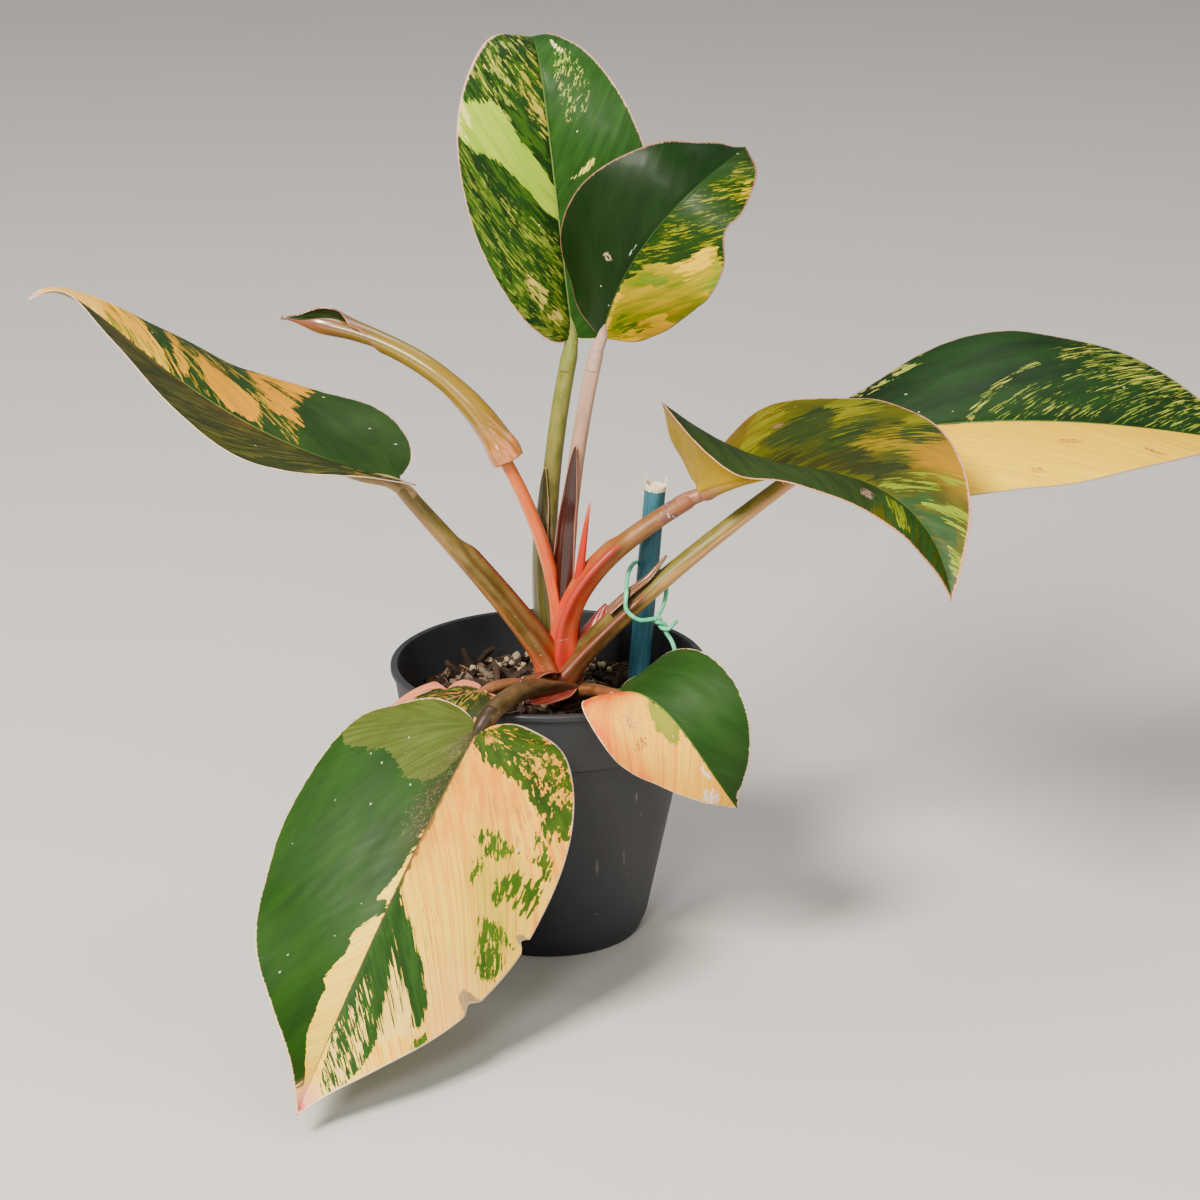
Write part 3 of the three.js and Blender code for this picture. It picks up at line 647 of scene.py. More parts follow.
def build_blade(name, leaf):
    grid = blade_grid(leaf)
    along, out = grid["along"], np.abs(grid["out"])
    thickness = lerp(HALF_THICKNESS, EDGE_HALF_THICKNESS, np.abs(grid["across"]) ** 4)
    veins = VEIN_RELIEF * np.cos(2 * np.pi * grid["vein"] / VEIN_SPACING + 2 * waves(along * 5, 4))
    veins = veins * smooth(out / 6) * smooth(grid["edge"] / 6)
    fade = 1 - along
    groove = GROOVE_DEPTH * hump(out / GROOVE_WIDTH) * smooth(fade * 4)
    rib = MIDRIB_DEPTH * fade * hump(out / (0.9 + 1.4 * fade))
    body = closed_sheet(grid["points"], thickness + veins - groove, thickness - veins + rib)
    length = curve_lengths(leaf["path"])[1][-1]
    look = leaf_look(name, leaf, length)
    add_piece(f"leaf_{name}", f"blade_{name}", body, look, blade_values(leaf, grid, length))


class BladeShade(Shade):
    """A blade's material. A grain is the size of a pattern's streaks across and along the side
    veins, and a number sets each pattern apart from the others."""

    def __init__(self, name, seed):
        super().__init__(name)
        self.seed = seed
        self.vein, self.out = self.numbers("vein", "out")

    def stretched(self, grain, number):
        across, along = grain
        return self.vector(self.vein / across, self.out / (along / 1.5), self.seed + 7.3 * number)

    def streaks(self, grain, number, detail=3.0):
        return self.even_noise(self.stretched(grain, number), 1.0, detail, 0.6)

    def flecks(self, grain, number):
        """Random values in clusters and in small long cells that lie along the veins."""
        _, cells = self.cells(self.stretched(grain, number), 1.9)
        return self.step(self.streaks(grain, number) * 0.6 + cells * 0.4, 0.12, 0.88)

    def mask(self, marking, k, clusters):
        """Where a marking shows. One that covers little of its outlines stands in clusters."""
        distance, = self.numbers(f"patch_{k}")
        mask = self.step(distance, -marking["ragged"], marking["ragged"], 0.0, marking["cover"])
        if marking["soft"]:
            mask = mask * (self.streaks((6, 14), k + 40) * 0.7 + 0.5) * marking["soft"]
        else:
            if marking["cover"] < 0.7:
                mask = mask * (clusters * 1.1 + 1.0)
            mask = self.step(mask - self.flecks(marking["grain"], k + 4), 0.02, 0.1)
        if marking["side"]:
            mask = mask * self.step(self.out * marking["side"], -0.1, 0.3)
        return mask


def marked(shade, leaf, lines):
    """The green ground with the markings over it."""
    clusters = shade.streaks((7, 11), 3, 2.0) - 0.5
    colour = shade.mix(shade.streaks((16, 26), 0), *leaf["ground"].split())
    for k, marking in enumerate(leaf["layers"]):
        tone = shade.mix(shade.streaks((3.4, 20), k + 23), *marking["colours"])
        if marking["veined"]:
            vein_colour, strength = marking["veined"]
            tone = shade.mix(lines * strength, tone, vein_colour)
        colour = shade.mix(shade.mask(marking, k, clusters), colour, tone)
    return colour


def lined(shade, leaf, length, fine, colour):
    """The colour with the midrib, the margin and a few pale dots."""
    along, edge = shade.numbers("along", "edge")
    rib = shade.step(abs(shade.out), leaf["rib_width"], leaf["rib_width"] * 0.5)
    rib = rib * shade.step(along, length * 0.96, length * 0.5, 0.1, 0.8)
    colour = shade.mix(rib, colour, leaf["rib"])
    margin = shade.step(edge + fine * 0.4, leaf.get("margin_width", 0.9), 0.35)
    colour = shade.mix(margin, colour, leaf["margin"])
    dots = shade.specks(shade.vector(along, shade.out, shade.seed), 0.15, 0.07, leaf.get("dots", 0.2))
    return shade.mix(dots * 0.8, colour, "c8ccb8")


def leaf_look(name, leaf, length):
    shade = BladeShade(f"leaf_{name}", float(leaf["half_width"]))
    face, = shade.numbers("face")
    fine = shade.streaks((0.7, 18), 1)
    lines = shade.step(shade.streaks((0.55, 60), 2, 1.0), 0.5, 0.85)
    colour = shade.mix(fine * 0.16, marked(shade, leaf, lines), "0c1405")
    colour = lined(shade, leaf, length, fine, colour)
    cover = shade.streaks((8, 16), 95) * 0.3 + (leaf.get("under_share", 0.7) - 0.15)
    under = shade.mix(cover, colour, leaf.get("under", UNDERSIDE))
    colour = shade.mix(face, under, colour)
    gloss = leaf.get("gloss", 0.4)
    rough = shade.step(shade.streaks((9, 14), 90), 0.0, 1.0, gloss, gloss + 0.12)
    return shade.finish(colour, rough, leaf.get("shine", 0.2), lines * 0.5 + fine * 0.5, 0.2, 0.1,
                        coat=(leaf.get("sheen", 0.03), 0.18))


# The leaves. Folds are in degrees at base, middle and tip, left and right as seen from above with
# the tip ahead. Dents narrow a half: their place along the blade, their reach and their depth.
# Bites are torn notches: their place along the blade, half their width and their depth. The
# points of a marking's outlines are in percent of the blade's length and of its half width
LEAVES = {
    "back_left": dict(
        path=[(10, 31, 245), (2, 16, 318), (-3, 26, 382), (-8, 66, 360)], face_base=(-0.25, -1, 0.2),
        face_tip=(0, -0.8, 0.6), half_width=40, left=half((50, 28, 30), 0.35, width=0.95),
        right=half((-4, 14, -10), 0.4, width=1.02, belly=0.4), lobe=0.02, belly=0.56,
        ground="10280a 1c3c0e", rib="6c8440", rib_width=0.4, margin="d8a890", gloss=0.46, shine=0.1,
        ripple=0.4,
        layers=[
            layer("1a3c0e 264c14", WHOLE_RIGHT, ragged=0.8),
            layer("24440e 38580f", WHOLE_LEFT, cover=0.5, ragged=4, grain=(1.3, 9)),
            layer("546c18 8c9430", "8,-8 40,-4 42,-35 46,-100 10,-100", cover=0.3, ragged=5,
                grain=(0.8, 6)),
            layer("546c14 84882c", "2,-15 16,-12 22,-50 14,-95 4,-80", cover=0.45, ragged=3,
                grain=(1.1, 7)),
            layer("a49c3c ccb458", "19,-62 20,-40 23.5,-34 27,-42 28.5,-60",
                "10,-50 12,-26 16.5,-30 16,-56", cover=0.74, ragged=2.4, grain=(1.3, 6)),
            layer("808420 b0a038", "64,-2 86,-4 84,-40 72,-50 66,-20", cover=0.5, ragged=3,
                grain=(0.9, 6)),
            layer("6c8424 a8a444", "60,-50 95,-30 90,-90 60,-100", cover=0.34, ragged=3, grain=(1.6, 6)),
            layer("b4ac54 ccbc74", "66,-78 66,-88 70,-92 70,-82", "86,-90 86,-100 92,-100 90,-85",
                cover=0.7, ragged=2, grain=(1.6, 4)),
            layer("88ac18 a4bc34", "54,-100 60,-80 62.5,-66 61,-50 57.5,-20 54.5,-5 50.5,0 43,0 44.6,-12 "
                "48,-30 50,-50 50,-63 47.5,-79 46.5,-100", ragged=1.4, grain=(1.2, 10)),
            layer("dcd07c c8d068", "46,-110 46,-93 54,-88 55,-110", cover=0.6, ragged=2, grain=(1.6, 6)),
            layer("c4c04c e4d478", "53,18 54,30 56,48 55,50 53.5,40", cover=1, ragged=0.6,
                grain=(0.7, 7)),
            layer("7c9c38 b8b458", "66,30 80,30 82,75 72,80 66,60", cover=0.24, ragged=3, grain=(0.8, 2)),
            layer("d8cc80 e8dca0", "79,62 84,55 86,66 80,72", cover=0.8, ragged=1.6, grain=(1.8, 4)),
        ]),
    "back_right": dict(
        path=[(22, 14, 250), (30, -20, 300), (66, -30, 330), (79, 15, 328)], face_base=(-0.4, -0.9, 0.1),
        face_tip=(0, -0.8, 0.6), half_width=36, left=half((-10, 18, 0), 0.35, width=0.97),
        right=half((-22, 2, 10), 0.35, belly=0.37,
                   dents=[(0.32, 0.14, 0.2), (0.65, 0.045, 0.18), (0.85, 0.08, -0.18)]),
        lobe=0, belly=0.4, ground="0c2408 142e0e", rib="2c4818", rib_width=0.4, margin="96685a",
        gloss=0.42, shine=0.1, dots=0.5,
        layers=[
            layer("122c06 1e3c08", WHOLE_RIGHT, ragged=0.8),
            layer("546404 8c8408", "42,2 70,2 90,50 90,100 62,100 60,50", cover=0.27, ragged=4,
                grain=(0.7, 7)),
            layer("988404 b49c04", "74,82 80,78 82,100 74,100", cover=0.45, ragged=2, grain=(1.2, 8)),
            layer("647800 b89800", "-10,2 37,2 42,10 47,20 50,30 53,45 56,60 61,78 61,88 55,110 -10,110",
                ragged=1.8, grain=(1.3, 12)),
            layer("d0a400 e4b400", "50,46 53.5,50 60,72 61,88 56,88 50,66",
                "2,70 20,55 34,66 34,110 0,110", "-5,2 36,2 36,7 -5,14", cover=0.85, ragged=3,
                grain=(1.8, 14)),
            layer("4c6c10 74881c", "38,18 42,15 47,35 46,52 42,42", "50,90 57,92 57,110 48,110",
                cover=0.8, ragged=2, grain=(1.4, 8)),
            layer("2c4c08 5c7408", "3,25 12,20 22,30 25,50 20,80 8,80", cover=0.55, ragged=3,
                grain=(1.3, 9)),
            layer("a08058 c8b090", "38.5,-27 40,-22 41,-25 41,-33 39.5,-34", cover=0.8, ragged=0.5,
                grain=(0.6, 1)),
            layer("1c1408 2c2010", "39.6,-31 39.4,-25 40.2,-25 40.3,-31", ragged=0.3),
            layer("a8b49c c0c8b0", "45,-7.5 45,-6 52,-8.5 52,-10", cover=0.9, ragged=0.3, grain=(3, 1)),
        ]),
    "left": dict(
        path=[(-60, -5, 195), (-160, -20, 225), (-182, 2, 288), (-206, -6, 271)],
        face_base=(0.4, -0.1, 0.9), face_tip=(0.5, 0, 0.9), half_width=47,
        left=half((28, 12, 20), 0.3, dents=[(0.26, 0.1, 0.2)]),
        right=half((35, 18, 0), 0.55, dents=[(0.9, 0.06, -0.6), (0.36, 0.05, 0.06)]), lobe=0.045,
        belly=0.36, ground="16300c 244010", rib="8c8a44", rib_width=0.5, margin="ecc8b8", under="6c6c30",
        layers=[
            layer("1c280a 2c340e", WHOLE_LEFT, ragged=0.8),
            layer("3c4010 5c5414", "34,-2 80,-2 80,-110 30,-110", cover=0.42, ragged=4, grain=(1, 16)),
            layer("887418 a88428", "12,-60 30,-60 32,-100 14,-100", cover=0.28, ragged=2, grain=(1.6, 5)),
            layer("8c7c14 c09018", "34,2 38,40 39.5,95 66,100 72,2", cover=0.3, ragged=3,
                grain=(1.5, 12)),
            layer("b87c00 cc8c00",
                "48,95 45,110 37,110 38.5,75 38.5,50 35.5,30 40,32 42.5,30 44,50 45.5,62 47,75",
                cover=1.05, ragged=2.2, grain=(1.6, 9)),
            layer("c08000 d49400",
                "61,60 60,72 57.5,62 54.5,55 51,45 46,35 44.5,18 46,6 50,4 54.5,10 57,18 59,35", ragged=2,
                grain=(1.6, 10)),
            layer("20380e 3c4a14", "39,62 43,66 45,86 41,80", cover=0.6, ragged=2, grain=(1.6, 5)),
            layer("b8880c dc9c18", "63,12 64,50 65,90 67,95 67,50 66,12", cover=0.85, ragged=1.6,
                grain=(1.4, 14)),
            layer("e0a010 f0b424", "70,0 66,6 70,40 71,70 74,110 100,110 100,-110 92,-110 86,-50 80,0",
                cover=1, ragged=4, grain=(1.6, 24)),
            layer("68781c 98901c", "66,2 88,2 84,40 72,30", cover=0.5, ragged=3, grain=(1, 20)),
            layer("f4b440 f8c858", "84,10 82,110 105,110 105,-110 95,-110", cover=0.9, ragged=4,
                grain=(1.4, 20)),
            layer("d88c78 d07c74", "97,-110 97,110 105,110 105,-110", ragged=3),
        ]),
    "right_front": dict(
        path=[(62, 12, 185), (75, -30, 206), (148, -62, 236), (156, -102, 178)],
        face_base=(-0.3, 0.2, 0.9), face_tip=(0.4, -0.6, 0.7), half_width=49,
        left=half((44, 26, 50), 0.35, width=0.97), right=half((94, 36, 24), 0.6, lobe=0.07), lobe=0.09,
        belly=0.39, ground="343802 4c4e04", rib="5c6420", rib_width=0.5, margin="cc8c74", under="ac8c18",
        under_share=0.8, gloss=0.48, shine=0.12,
        layers=[
            tint("785408", 0.6, "-10,-60 30,-50 34,-110 -10,-110"),
            layer("585c04 747008", "40,-90 46,-55 50,-40 54,-50 50,-80 50,-110 42,-110",
                "54,-40 58,-30 68,-60 62,-110 56,-110 57,-70",
                "22,-35 30,-30 36,-80 34,-110 28,-110 28,-70", cover=0.9, ragged=3, grain=(1.6, 16)),
            tint("946800", 0.8, "70,-50 64,-75 66,-110 76,-110 76,-80", ragged=8),
            tint("886800", 0.5, "55,-40 62,-40 66,-70 58,-75", ragged=5),
            layer("202408 30300a", "6,-4 70,-4 70,-32 58,-36 46,-26 30,-20 16,-16", cover=0.95, ragged=5,
                grain=(1.4, 24)),
            layer("2c3206 3c4208", "36,-30 50,-20 70,-30 66,-80 50,-90", cover=0.5, ragged=5,
                grain=(1, 18)),
            layer("1c2c0c 283610", "32,-40 36.5,-66 39,-86 42.5,-84 44,-65 46,-42 42,-30 36,-30",
                "46,-40 48.5,-63 51,-76 54,-70 55,-50 55,-36 53,-24 49,-26",
                "45,-88 44.5,-110 49,-110 48.5,-88", "56,-80 60,-84 61.5,-110 66,-110 65,-76 61,-70",
                cover=0.9, ragged=3.4, grain=(1.1, 14)),
            layer("1c260a 262e0c", "65,-12 64.5,-25 65.5,-40 68,-52 70.5,-50 70,-30 68,-12",
                "57,-12 56,-30 60,-36 61,-16", cover=1.05, ragged=2, grain=(1.6, 12)),
            layer("70503c 8c6850", "33,-60 34.5,-65.5 36.2,-62 35,-58.5", ragged=0.7, grain=(1, 1)),
            layer("1c300c 2a3e12", "-10,2 74,2 72,110 -10,110", ragged=2),
            layer("1c3a12 2c4a1c", "71,70 74,10 77,-40 82,-75 90,-75 105,-60 105,90 80,110", cover=0.9,
                ragged=3, grain=(1.6, 18)),
            layer("64780c 808c14", "70,-5 73.5,-10 76,-50 74,-110 72,-60", "74,30 77,20 82,80 78,90",
                "79,-30 82,-50 86,-110 80,-110", "88,-50 92,-40 97,-110 88,-110", cover=0.68, ragged=2.4,
                grain=(1.1, 16)),
            layer("a88878 7c5844", "69,50 71.5,50 71.5,72 69,70", cover=0.6, ragged=1, grain=(0.8, 1)),
        ]),
    "right_back": dict(
        path=[(111, 22, 198), (146, 27, 215), (227, 36, 213), (303, 46, 192)], face_base=(0, -0.4, 0.9),
        face_tip=(0, -0.1, 1), half_width=52,
        left=half((-4, 26, 20), 0.4, width=1.05, lobe=0.09, belly=0.46,
                  dents=[(0.27, 0.07, 0.22), (0.66, 0.1, -0.16)]),
        right=half((4, 11, 10), 0.35), lobe=0.06, belly=0.41, ground="0c2408 16360c", rib="4c6c30",
        rib_width=0.4, shine=0.14, margin="b89878",
        layers=[
            layer("f4be00 f8cc08", WHOLE_RIGHT, ragged=0.7, grain=(3, 12), veined=("d88800", 0.3)),
            tint("f09000", 0.8, "-10,2 30,2 28,110 -10,110", ragged=22),
            layer("c0843c a8682c", "66,70 67.5,70 69,90 68,92", "44,78 46,76 46,84 44,84",
                "54,42 58,42 58,50 54,50", cover=0.7, ragged=0.8, grain=(1, 1.6)),
            layer("84982c b4b040", "40,-2 41.5,-2 45,-25 51,-60 50,-62 43,-26", cover=0.5, ragged=1.2,
                grain=(0.8, 14)),
            layer("647c20 98a038", "41,-2 47,-20 56,-50 62,-110 102,-110 102,-2", cover=0.2, ragged=9,
                grain=(0.8, 12)),
            layer("94a42c c8bc48", "52,-72 60,-60 86,-60 92,-110 54,-110", cover=0.2, ragged=8,
                grain=(0.9, 10)),
            layer("8c9c38 b8b054", "16,-82 34,-86 37,-110 16,-110", cover=0.4, ragged=3, grain=(1.5, 6)),
        ]),
    "front_left": dict(
        path=[(-26, -78, 117), (-41, -122, 106), (-81, -157, 27), (-92, -204, 10)],
        face_base=(-0.1, -0.9, 0.5), face_tip=(0, -1, 0.3), half_width=57, left=half((5, -10, 15), 0.35),
        right=half((0, -10, 38), 0.4), lobe=0.08, belly=0.38, ground="18380a 24480c", rib="50402a",
        rib_width=0.35, margin="e8c8a4", margin_width=0.8, gloss=0.44, shine=0.14, dots=0.6,
        bites={"left": [(0.445, 0.012, 0.06), (0.59, 0.02, 0.06)]}, ripple=0.6,
        layers=[
            layer("485418 586428",
                "-10,2 10,2 17,4 25,12 28.5,22 30,37 28.5,50 29,62 31,75 32.5,93 30,110 -10,110",
                ragged=1.5, grain=(1.8, 8), veined=("3c4814", 0.5)),
            layer("fccc38 fcdc4c", "57,0 58,3 60,10 62.5,18 64,20 66,18 68,21 72.5,35 74.5,31 79.5,41 "
                "83,53 88.5,53 92,45 105,50 105,0", "36,0 42,2 47,3 51,5 53,9 55.2,10 54.8,5 57,0",
                ragged=0.9, grain=(1.6, 8), veined=("ec9c20", 0.35)),
            layer("fcc434 fcd448", WHOLE_LEFT, ragged=0.8, veined=("e87c0c", 0.6)),
            tint("e88c0c", 1, "4,-2 42,-2 36,-30 30,-70 18,-50", "4,-50 30,-75 35,-110 0,-110",
                ragged=26),
            tint("f8b870", 0.35, "50,-90 56,-60 70,-60 70,-110 50,-110", ragged=9),
            tint("a8a01c", 0.5, "32,-33 37,-70 44,-95 54,-100 54,-70 42,-40", ragged=7),
            layer("c87c2c d88c38", "24,-30 32,-28 36,-80 31,-84", "50,-24 52,-24 53,-42 51,-42",
                cover=0.35, ragged=4, grain=(0.7, 9)),
            layer("203a0c 3e580f",
                "4,-10 5,-110 30,-110 33,-97 34,-88 31,-78 27,-65 24,-55 20,-40 15,-20 10,-5", cover=1,
                ragged=2.6, grain=(1.5, 6)),
            layer("cc8c20 dca030", "8,-28 12,-28 12,-45 8,-45", "18,-70 22,-62 30,-85 28,-100 20,-95",
                cover=0.5, ragged=2.4, grain=(1.2, 4)),
            layer("2c480c 547014", "33,-75 34,-85 37,-95 38.5,-90 36,-78", cover=0.8, ragged=1.6,
                grain=(1.3, 3.5)),
            layer("2c4c0c 4c6a10", "34.5,-33 33.5,-45 34.5,-56 36,-68 36.8,-60 38,-50 37.5,-42 36,-35",
                "39,-40 39.5,-48 42.5,-45 42.5,-40",
                "40,-60 38.2,-70 38.8,-78 38,-88 39.5,-92 42,-88 41,-80 41.2,-70 43,-66 42,-60",
                "47,-60 45.5,-70 45.5,-85 46.5,-93 48,-85 50,-95 53,-97 55,-88 53,-78 51,-70", cover=0.9,
                ragged=1.8, grain=(1.5, 4)),
            layer("a89428 c8a848", "56,-20 60,-20 68,-50 66,-56 56,-40", cover=0.35, ragged=3,
                grain=(0.9, 9)),
            layer("1c3a10 2c5018", "50,0 54,-8 56.5,-20 60,-40 65,-72 69,-86 72,-70 77,-68 82,-87 "
                "88,-100 93,-90 90,-30 86,-8 80,0", cover=1.1, ragged=1.2, grain=(1, 9)),
            layer("f0c454 f8d468", "60,-8 62,-16 70,-38 74,-50 78,-72 70,-86 67.5,-60 65.5,-42 63,-24",
                cover=0.78, ragged=2, grain=(0.9, 24)),
            layer("f0c454 f8d870", "70,-10 86,-6 94,-40 92,-105 82,-95 78,-60", cover=0.44, ragged=3,
                grain=(0.9, 9)),
            layer("2c4c10 4c6818", "68,-92 70,-110 73,-110 71,-90", cover=0.95, ragged=1.4,
                grain=(1.3, 4)),
            layer("fcd064 fcd878", "93,-110 93,110 105,110 105,-110", ragged=3),
            tint("f09c84", 0.9, "93,-110 94,110 105,110 105,-110", ragged=5),
            tint("cc4c54", 0.9, "97.5,-110 97.5,110 105,110 105,-110", ragged=2.4),
            layer("8c7450 a08860", "43,-110 43.5,-93 45,-95 46,-110", "56,-110 58,-86 60,-90 62,-110",
                ragged=0.8, grain=(1.4, 2)),
            tint("3c2c1c", 0.6, "-10,30 12,20 24,16 44,6 44,-2 10,-4 -10,-20", ragged=8),
            layer("605c44 706850", "-10,28 12,26 24,20 40,12 40,0 10,0", cover=0.22, ragged=9,
                grain=(0.5, 0.9)),
        ]),
    "front_right": dict(
        path=[(28, -44, 118), (45, -68, 134), (61, -86, 105), (76, -62, 76)], face_base=(0.4, -0.6, 0.6),
        face_tip=(-0.1, -0.9, 0.3), half_width=28,
        left=half((21, 25, 0), 0.35, width=1.03, dents=[(0.9, 0.05, 0.3)]),
        right=half((15, -14, 0), 0.4), lobe=0.06, belly=0.38, ground="1c3a10 2a4a1a", rib="5c7434",
        rib_width=0.3, margin="e4c4a4", margin_width=0.7, gloss=0.5, shine=0.1, sheen=0, ripple=0.4,
        layers=[
            layer("fcb42c fcc43c", WHOLE_RIGHT, ragged=0.6, veined=("e87814", 0.5)),
            tint("e44c14", 1, "-10,2 20,2 24,50 34,110 -10,110", "20,85 60,92 60,110 20,110", ragged=12),
            layer("808420 94942c", "34,3 42,0 53,0 55,5 57,12 58,24 55,27 52,26 48,28 46,27 41,20 36,12",
                ragged=1.2, grain=(1, 3)),
            layer("b87c30 8c5c28", "43,52 45,46 47.5,52 47.5,64 45,70 43,62", cover=0.6, ragged=1,
                grain=(0.8, 1)),
            layer("c88844 dc9c54", "30,30 40,30 42,50 34,60", "56,50 60,50 60,60 56,60", cover=0.4,
                ragged=2, grain=(0.9, 2)),
            layer("f0dcc0 f4e8d4", "79,60 82,35 87,40 88,90 84,100 80,90", "72,10 78,10 78,22 72,20",
                cover=0.75, ragged=1, grain=(0.8, 2)),
        ]),
    "low_left": dict(
        path=[(-26, -44, 119), (-46, -56, 122), (-66, -68, 108), (-80, -80, 78)],
        face_base=(-0.1, -0.3, 0.95), face_tip=(-0.4, -0.5, 0.8), half_width=22,
        left=half((16, -6, -34), 0.3), right=half((-6, -12, 0), 0.2), lobe=0.05, belly=0.38,
        ground="c86c44 e08c68", rib="a87048", rib_width=0.4, margin="e89c80",
        bites={"right": [(0.26, 0.05, 0.5)]}, ripple=0.3,
        layers=[
            layer("1c2c0c 343c10", "2,50 30,66 50,62 95,50 95,-80 30,-94 2,-80", cover=1.1, ragged=2,
                grain=(1.5, 5)),
            layer("8c7c18 b08c24", "5,50 90,50 90,-60 5,-60", cover=0.32, ragged=3, grain=(1, 5)),
            layer("b8602c d07c3c", "10,10 50,10 50,36 10,30", cover=0.4, ragged=2, grain=(1.2, 4)),
            layer("dc7454 e88c68", "5,72 60,74 90,78 90,110 5,110", cover=1, ragged=1.6, grain=(1.6, 8)),
        ]),
}


# Leaf stalks. A stalk's root is the share at which it starts inside the crown. Its wings are how
# far they stand out on the left and on the right, and the share at which they end. Its colours
# run from the base to the blade on its upper and on its lower side. A sheath is its first and
# last share, its half width and how far its tip stands off
STALKS = {
    "back_left": dict(
        path=[(3, 11, 112), (-5, 14, 146), (1, 26, 203), (10, 31, 244)], face=(-0.6, -0.8, 0.1),
        radii=(4.6, 3.5), wings=(1.8, 1.4, 0.5), sheath=(0.1, 0.62, 4.6, 0.8),
        sheath_colours="302c10 545020", edge="c8a478",
        upper=[(0, "4c3418"), (0.4, "50501c"), (1, "6c7c2c")],
        lower=[(0, "6c4424"), (0.5, "6c6028"), (1, "78803a")]),
    "back_right": dict(
        path=[(7, 8, 116), (5, 9, 157), (11, 12, 207), (21, 14, 249)], face=(-0.3, -1, 0.1),
        radii=(3.8, 3), wings=(1.6, 1.6, 0.5), sheath=(0.06, 0.67, 4.4, 1),
        sheath_colours="240a06 3c160c", edge="c08068", rib="b89888",
        upper=[(0, "5c2c1c"), (0.5, "98705c"), (1, "b49484")],
        lower=[(0, "70301c"), (0.5, "a87460"), (1, "8c5040")]),
    "left": dict(
        path=[(1, -4, 114), (-5, -5, 131), (-44, -8, 175), (-60.5, -5.4, 194.5)], face=(0.7, -0.3, 0.7),
        radii=(6, 3.4), wings=(1.8, 3.2, 0.66), split=(0.15, 0.6), edge="6c1c18",
        upper=[(0, "9c3418"), (0.2, "584018"), (0.7, "5c541c"), (1, "7c6c38")],
        lower=[(0, "c8482c"), (0.3, "9c6430"), (0.8, "a4784c"), (1, "a8885c")]),
    "right_front": dict(
        path=[(6, 0, 121), (5, -1, 152), (35, 4, 171), (61, 12, 184)], face=(-0.7, -0.2, 0.7),
        radii=(5.9, 3.8), wings=(2, 3.4, 0.62), root=-0.16, scar=0.86, edge="a82c20",
        upper=[(0, "dc2c14"), (0.3, "b8401c"), (0.6, "7c5420"), (1, "845038")],
        lower=[(0, "d83820"), (0.3, "b8582c"), (0.7, "8c6030"), (1, "98644c")]),
    "right_back": dict(
        path=[(6, -6, 112), (25, -4, 135), (62, 10, 163), (110, 21, 196)], face=(-0.6, -0.3, 0.75),
        radii=(5.4, 3.3), wings=(1.6, 1.8, 0.46), sheath=(0.3, 0.55, 2.6, 3.2),
        sheath_colours="5c3420 8c684c", split=(0.35, 0.85), edge="6c3420",
        upper=[(0, "702c18"), (0.1, "443814"), (0.5, "5c5c18"), (1, "6c6c20")],
        lower=[(0, "8c3820"), (0.2, "685024"), (0.5, "c49450"), (1, "d49c6c")]),
    "front_left": dict(
        path=[(8, -8, 106), (-1, -30, 118), (-14, -62, 129), (-25, -77, 118)], face=(0, -0.3, 1),
        radii=(4.4, 3.9), wings=(1.6, 1.2, 0.36), edge="6c442c",
        upper=[(0, "502c14"), (0.5, "342a10"), (1, "2c2812")],
        lower=[(0, "6c341c"), (0.5, "402c16"), (1, "302616")]),
    "front_right": dict(
        path=[(12, -6, 105), (18, -14, 110), (23, -32, 114), (28, -43, 117)], face=(0, -0.3, 1),
        radii=(3.4, 2.6), wings=(0.4, 0.4, 0.5), edge="8c5434",
        upper=[(0, "502c18"), (0.5, "6c4424"), (1, "8c5434")],
        lower=[(0, "6c3820"), (1, "8c5434")]),
    "low_left": dict(
        path=[(3, -7, 105), (-6, -18, 112), (-14, -34, 121), (-25, -43, 119)], face=(0, -0.3, 1),
        radii=(3.2, 2.5), wings=(0.4, 0.4, 0.5), edge="8c5434",
        upper=[(0, "502c1c"), (0.5, "643c24"), (1, "7c4c30")],
        lower=[(0, "6c3824"), (1, "885034")]),
    "rolled": dict(
        path=[(4, 6, 120), (6, 6, 145), (-4, 4, 178), (-19, 2.5, 205)], face=(0.9, -0.3, 0.3),
        radii=(3.5, 2.8), wings=(0.3, 0.3, 0.4), root=-0.16, edge="dc6030",
        upper=[(0, "d4381c"), (0.3, "dc5020"), (0.8, "dc6428"), (1, "dc7840")],
        lower=[(0, "dc4830"), (0.4, "e88450"), (1, "e8a078")]),
}


def stalk_radius(stalk, share, angle):
    """The radius of a stalk with its wings, and where its wings are."""
    start, end = stalk["radii"]
    left, right, wing_end = stalk["wings"]
    radius = lerp(start, end, np.clip(share, 0, 1) ** 0.7)
    radius = radius * (1 + 0.16 * hump(share / 0.08) - 0.3 * smooth((share - 0.94) / 0.06))
    wing = lerp(left, right, 0.5 + 0.5 * np.sin(angle))
    run = smooth((wing_end + 0.02 - share) / 0.1)
    ridge = hump((np.abs(angle) - WING_ANGLE) / WING_SPREAD) * run
    flat = (0.2 + 0.25 * run) * np.maximum(0, np.cos(angle)) ** 2
    return radius * (1 - flat) + wing * ridge, ridge * (wing / max(left, right)) ** 3


def build_stalk(name, stalk):
    share = np.linspace(stalk.get("root", -0.08), 1, STALK_STEPS + 1)
    angle = angles_round(len(share), STALK_SIDES)
    radius, ridge = stalk_radius(stalk, share[:, None], angle)
    body = tube(frames_on(stalk["path"], share, stalk["face"]), radius, angle)
    values = rod_values(stalk["path"], share, radius * np.abs(angle), upper=0.5 + 0.5 * np.cos(angle),
                        ridge=ridge)
    add_piece(f"leafstalk_{name}", f"stalk_{name}", body, stalk_look(name, stalk), values)
    if "sheath" in stalk:
        build_sheath(name, stalk)


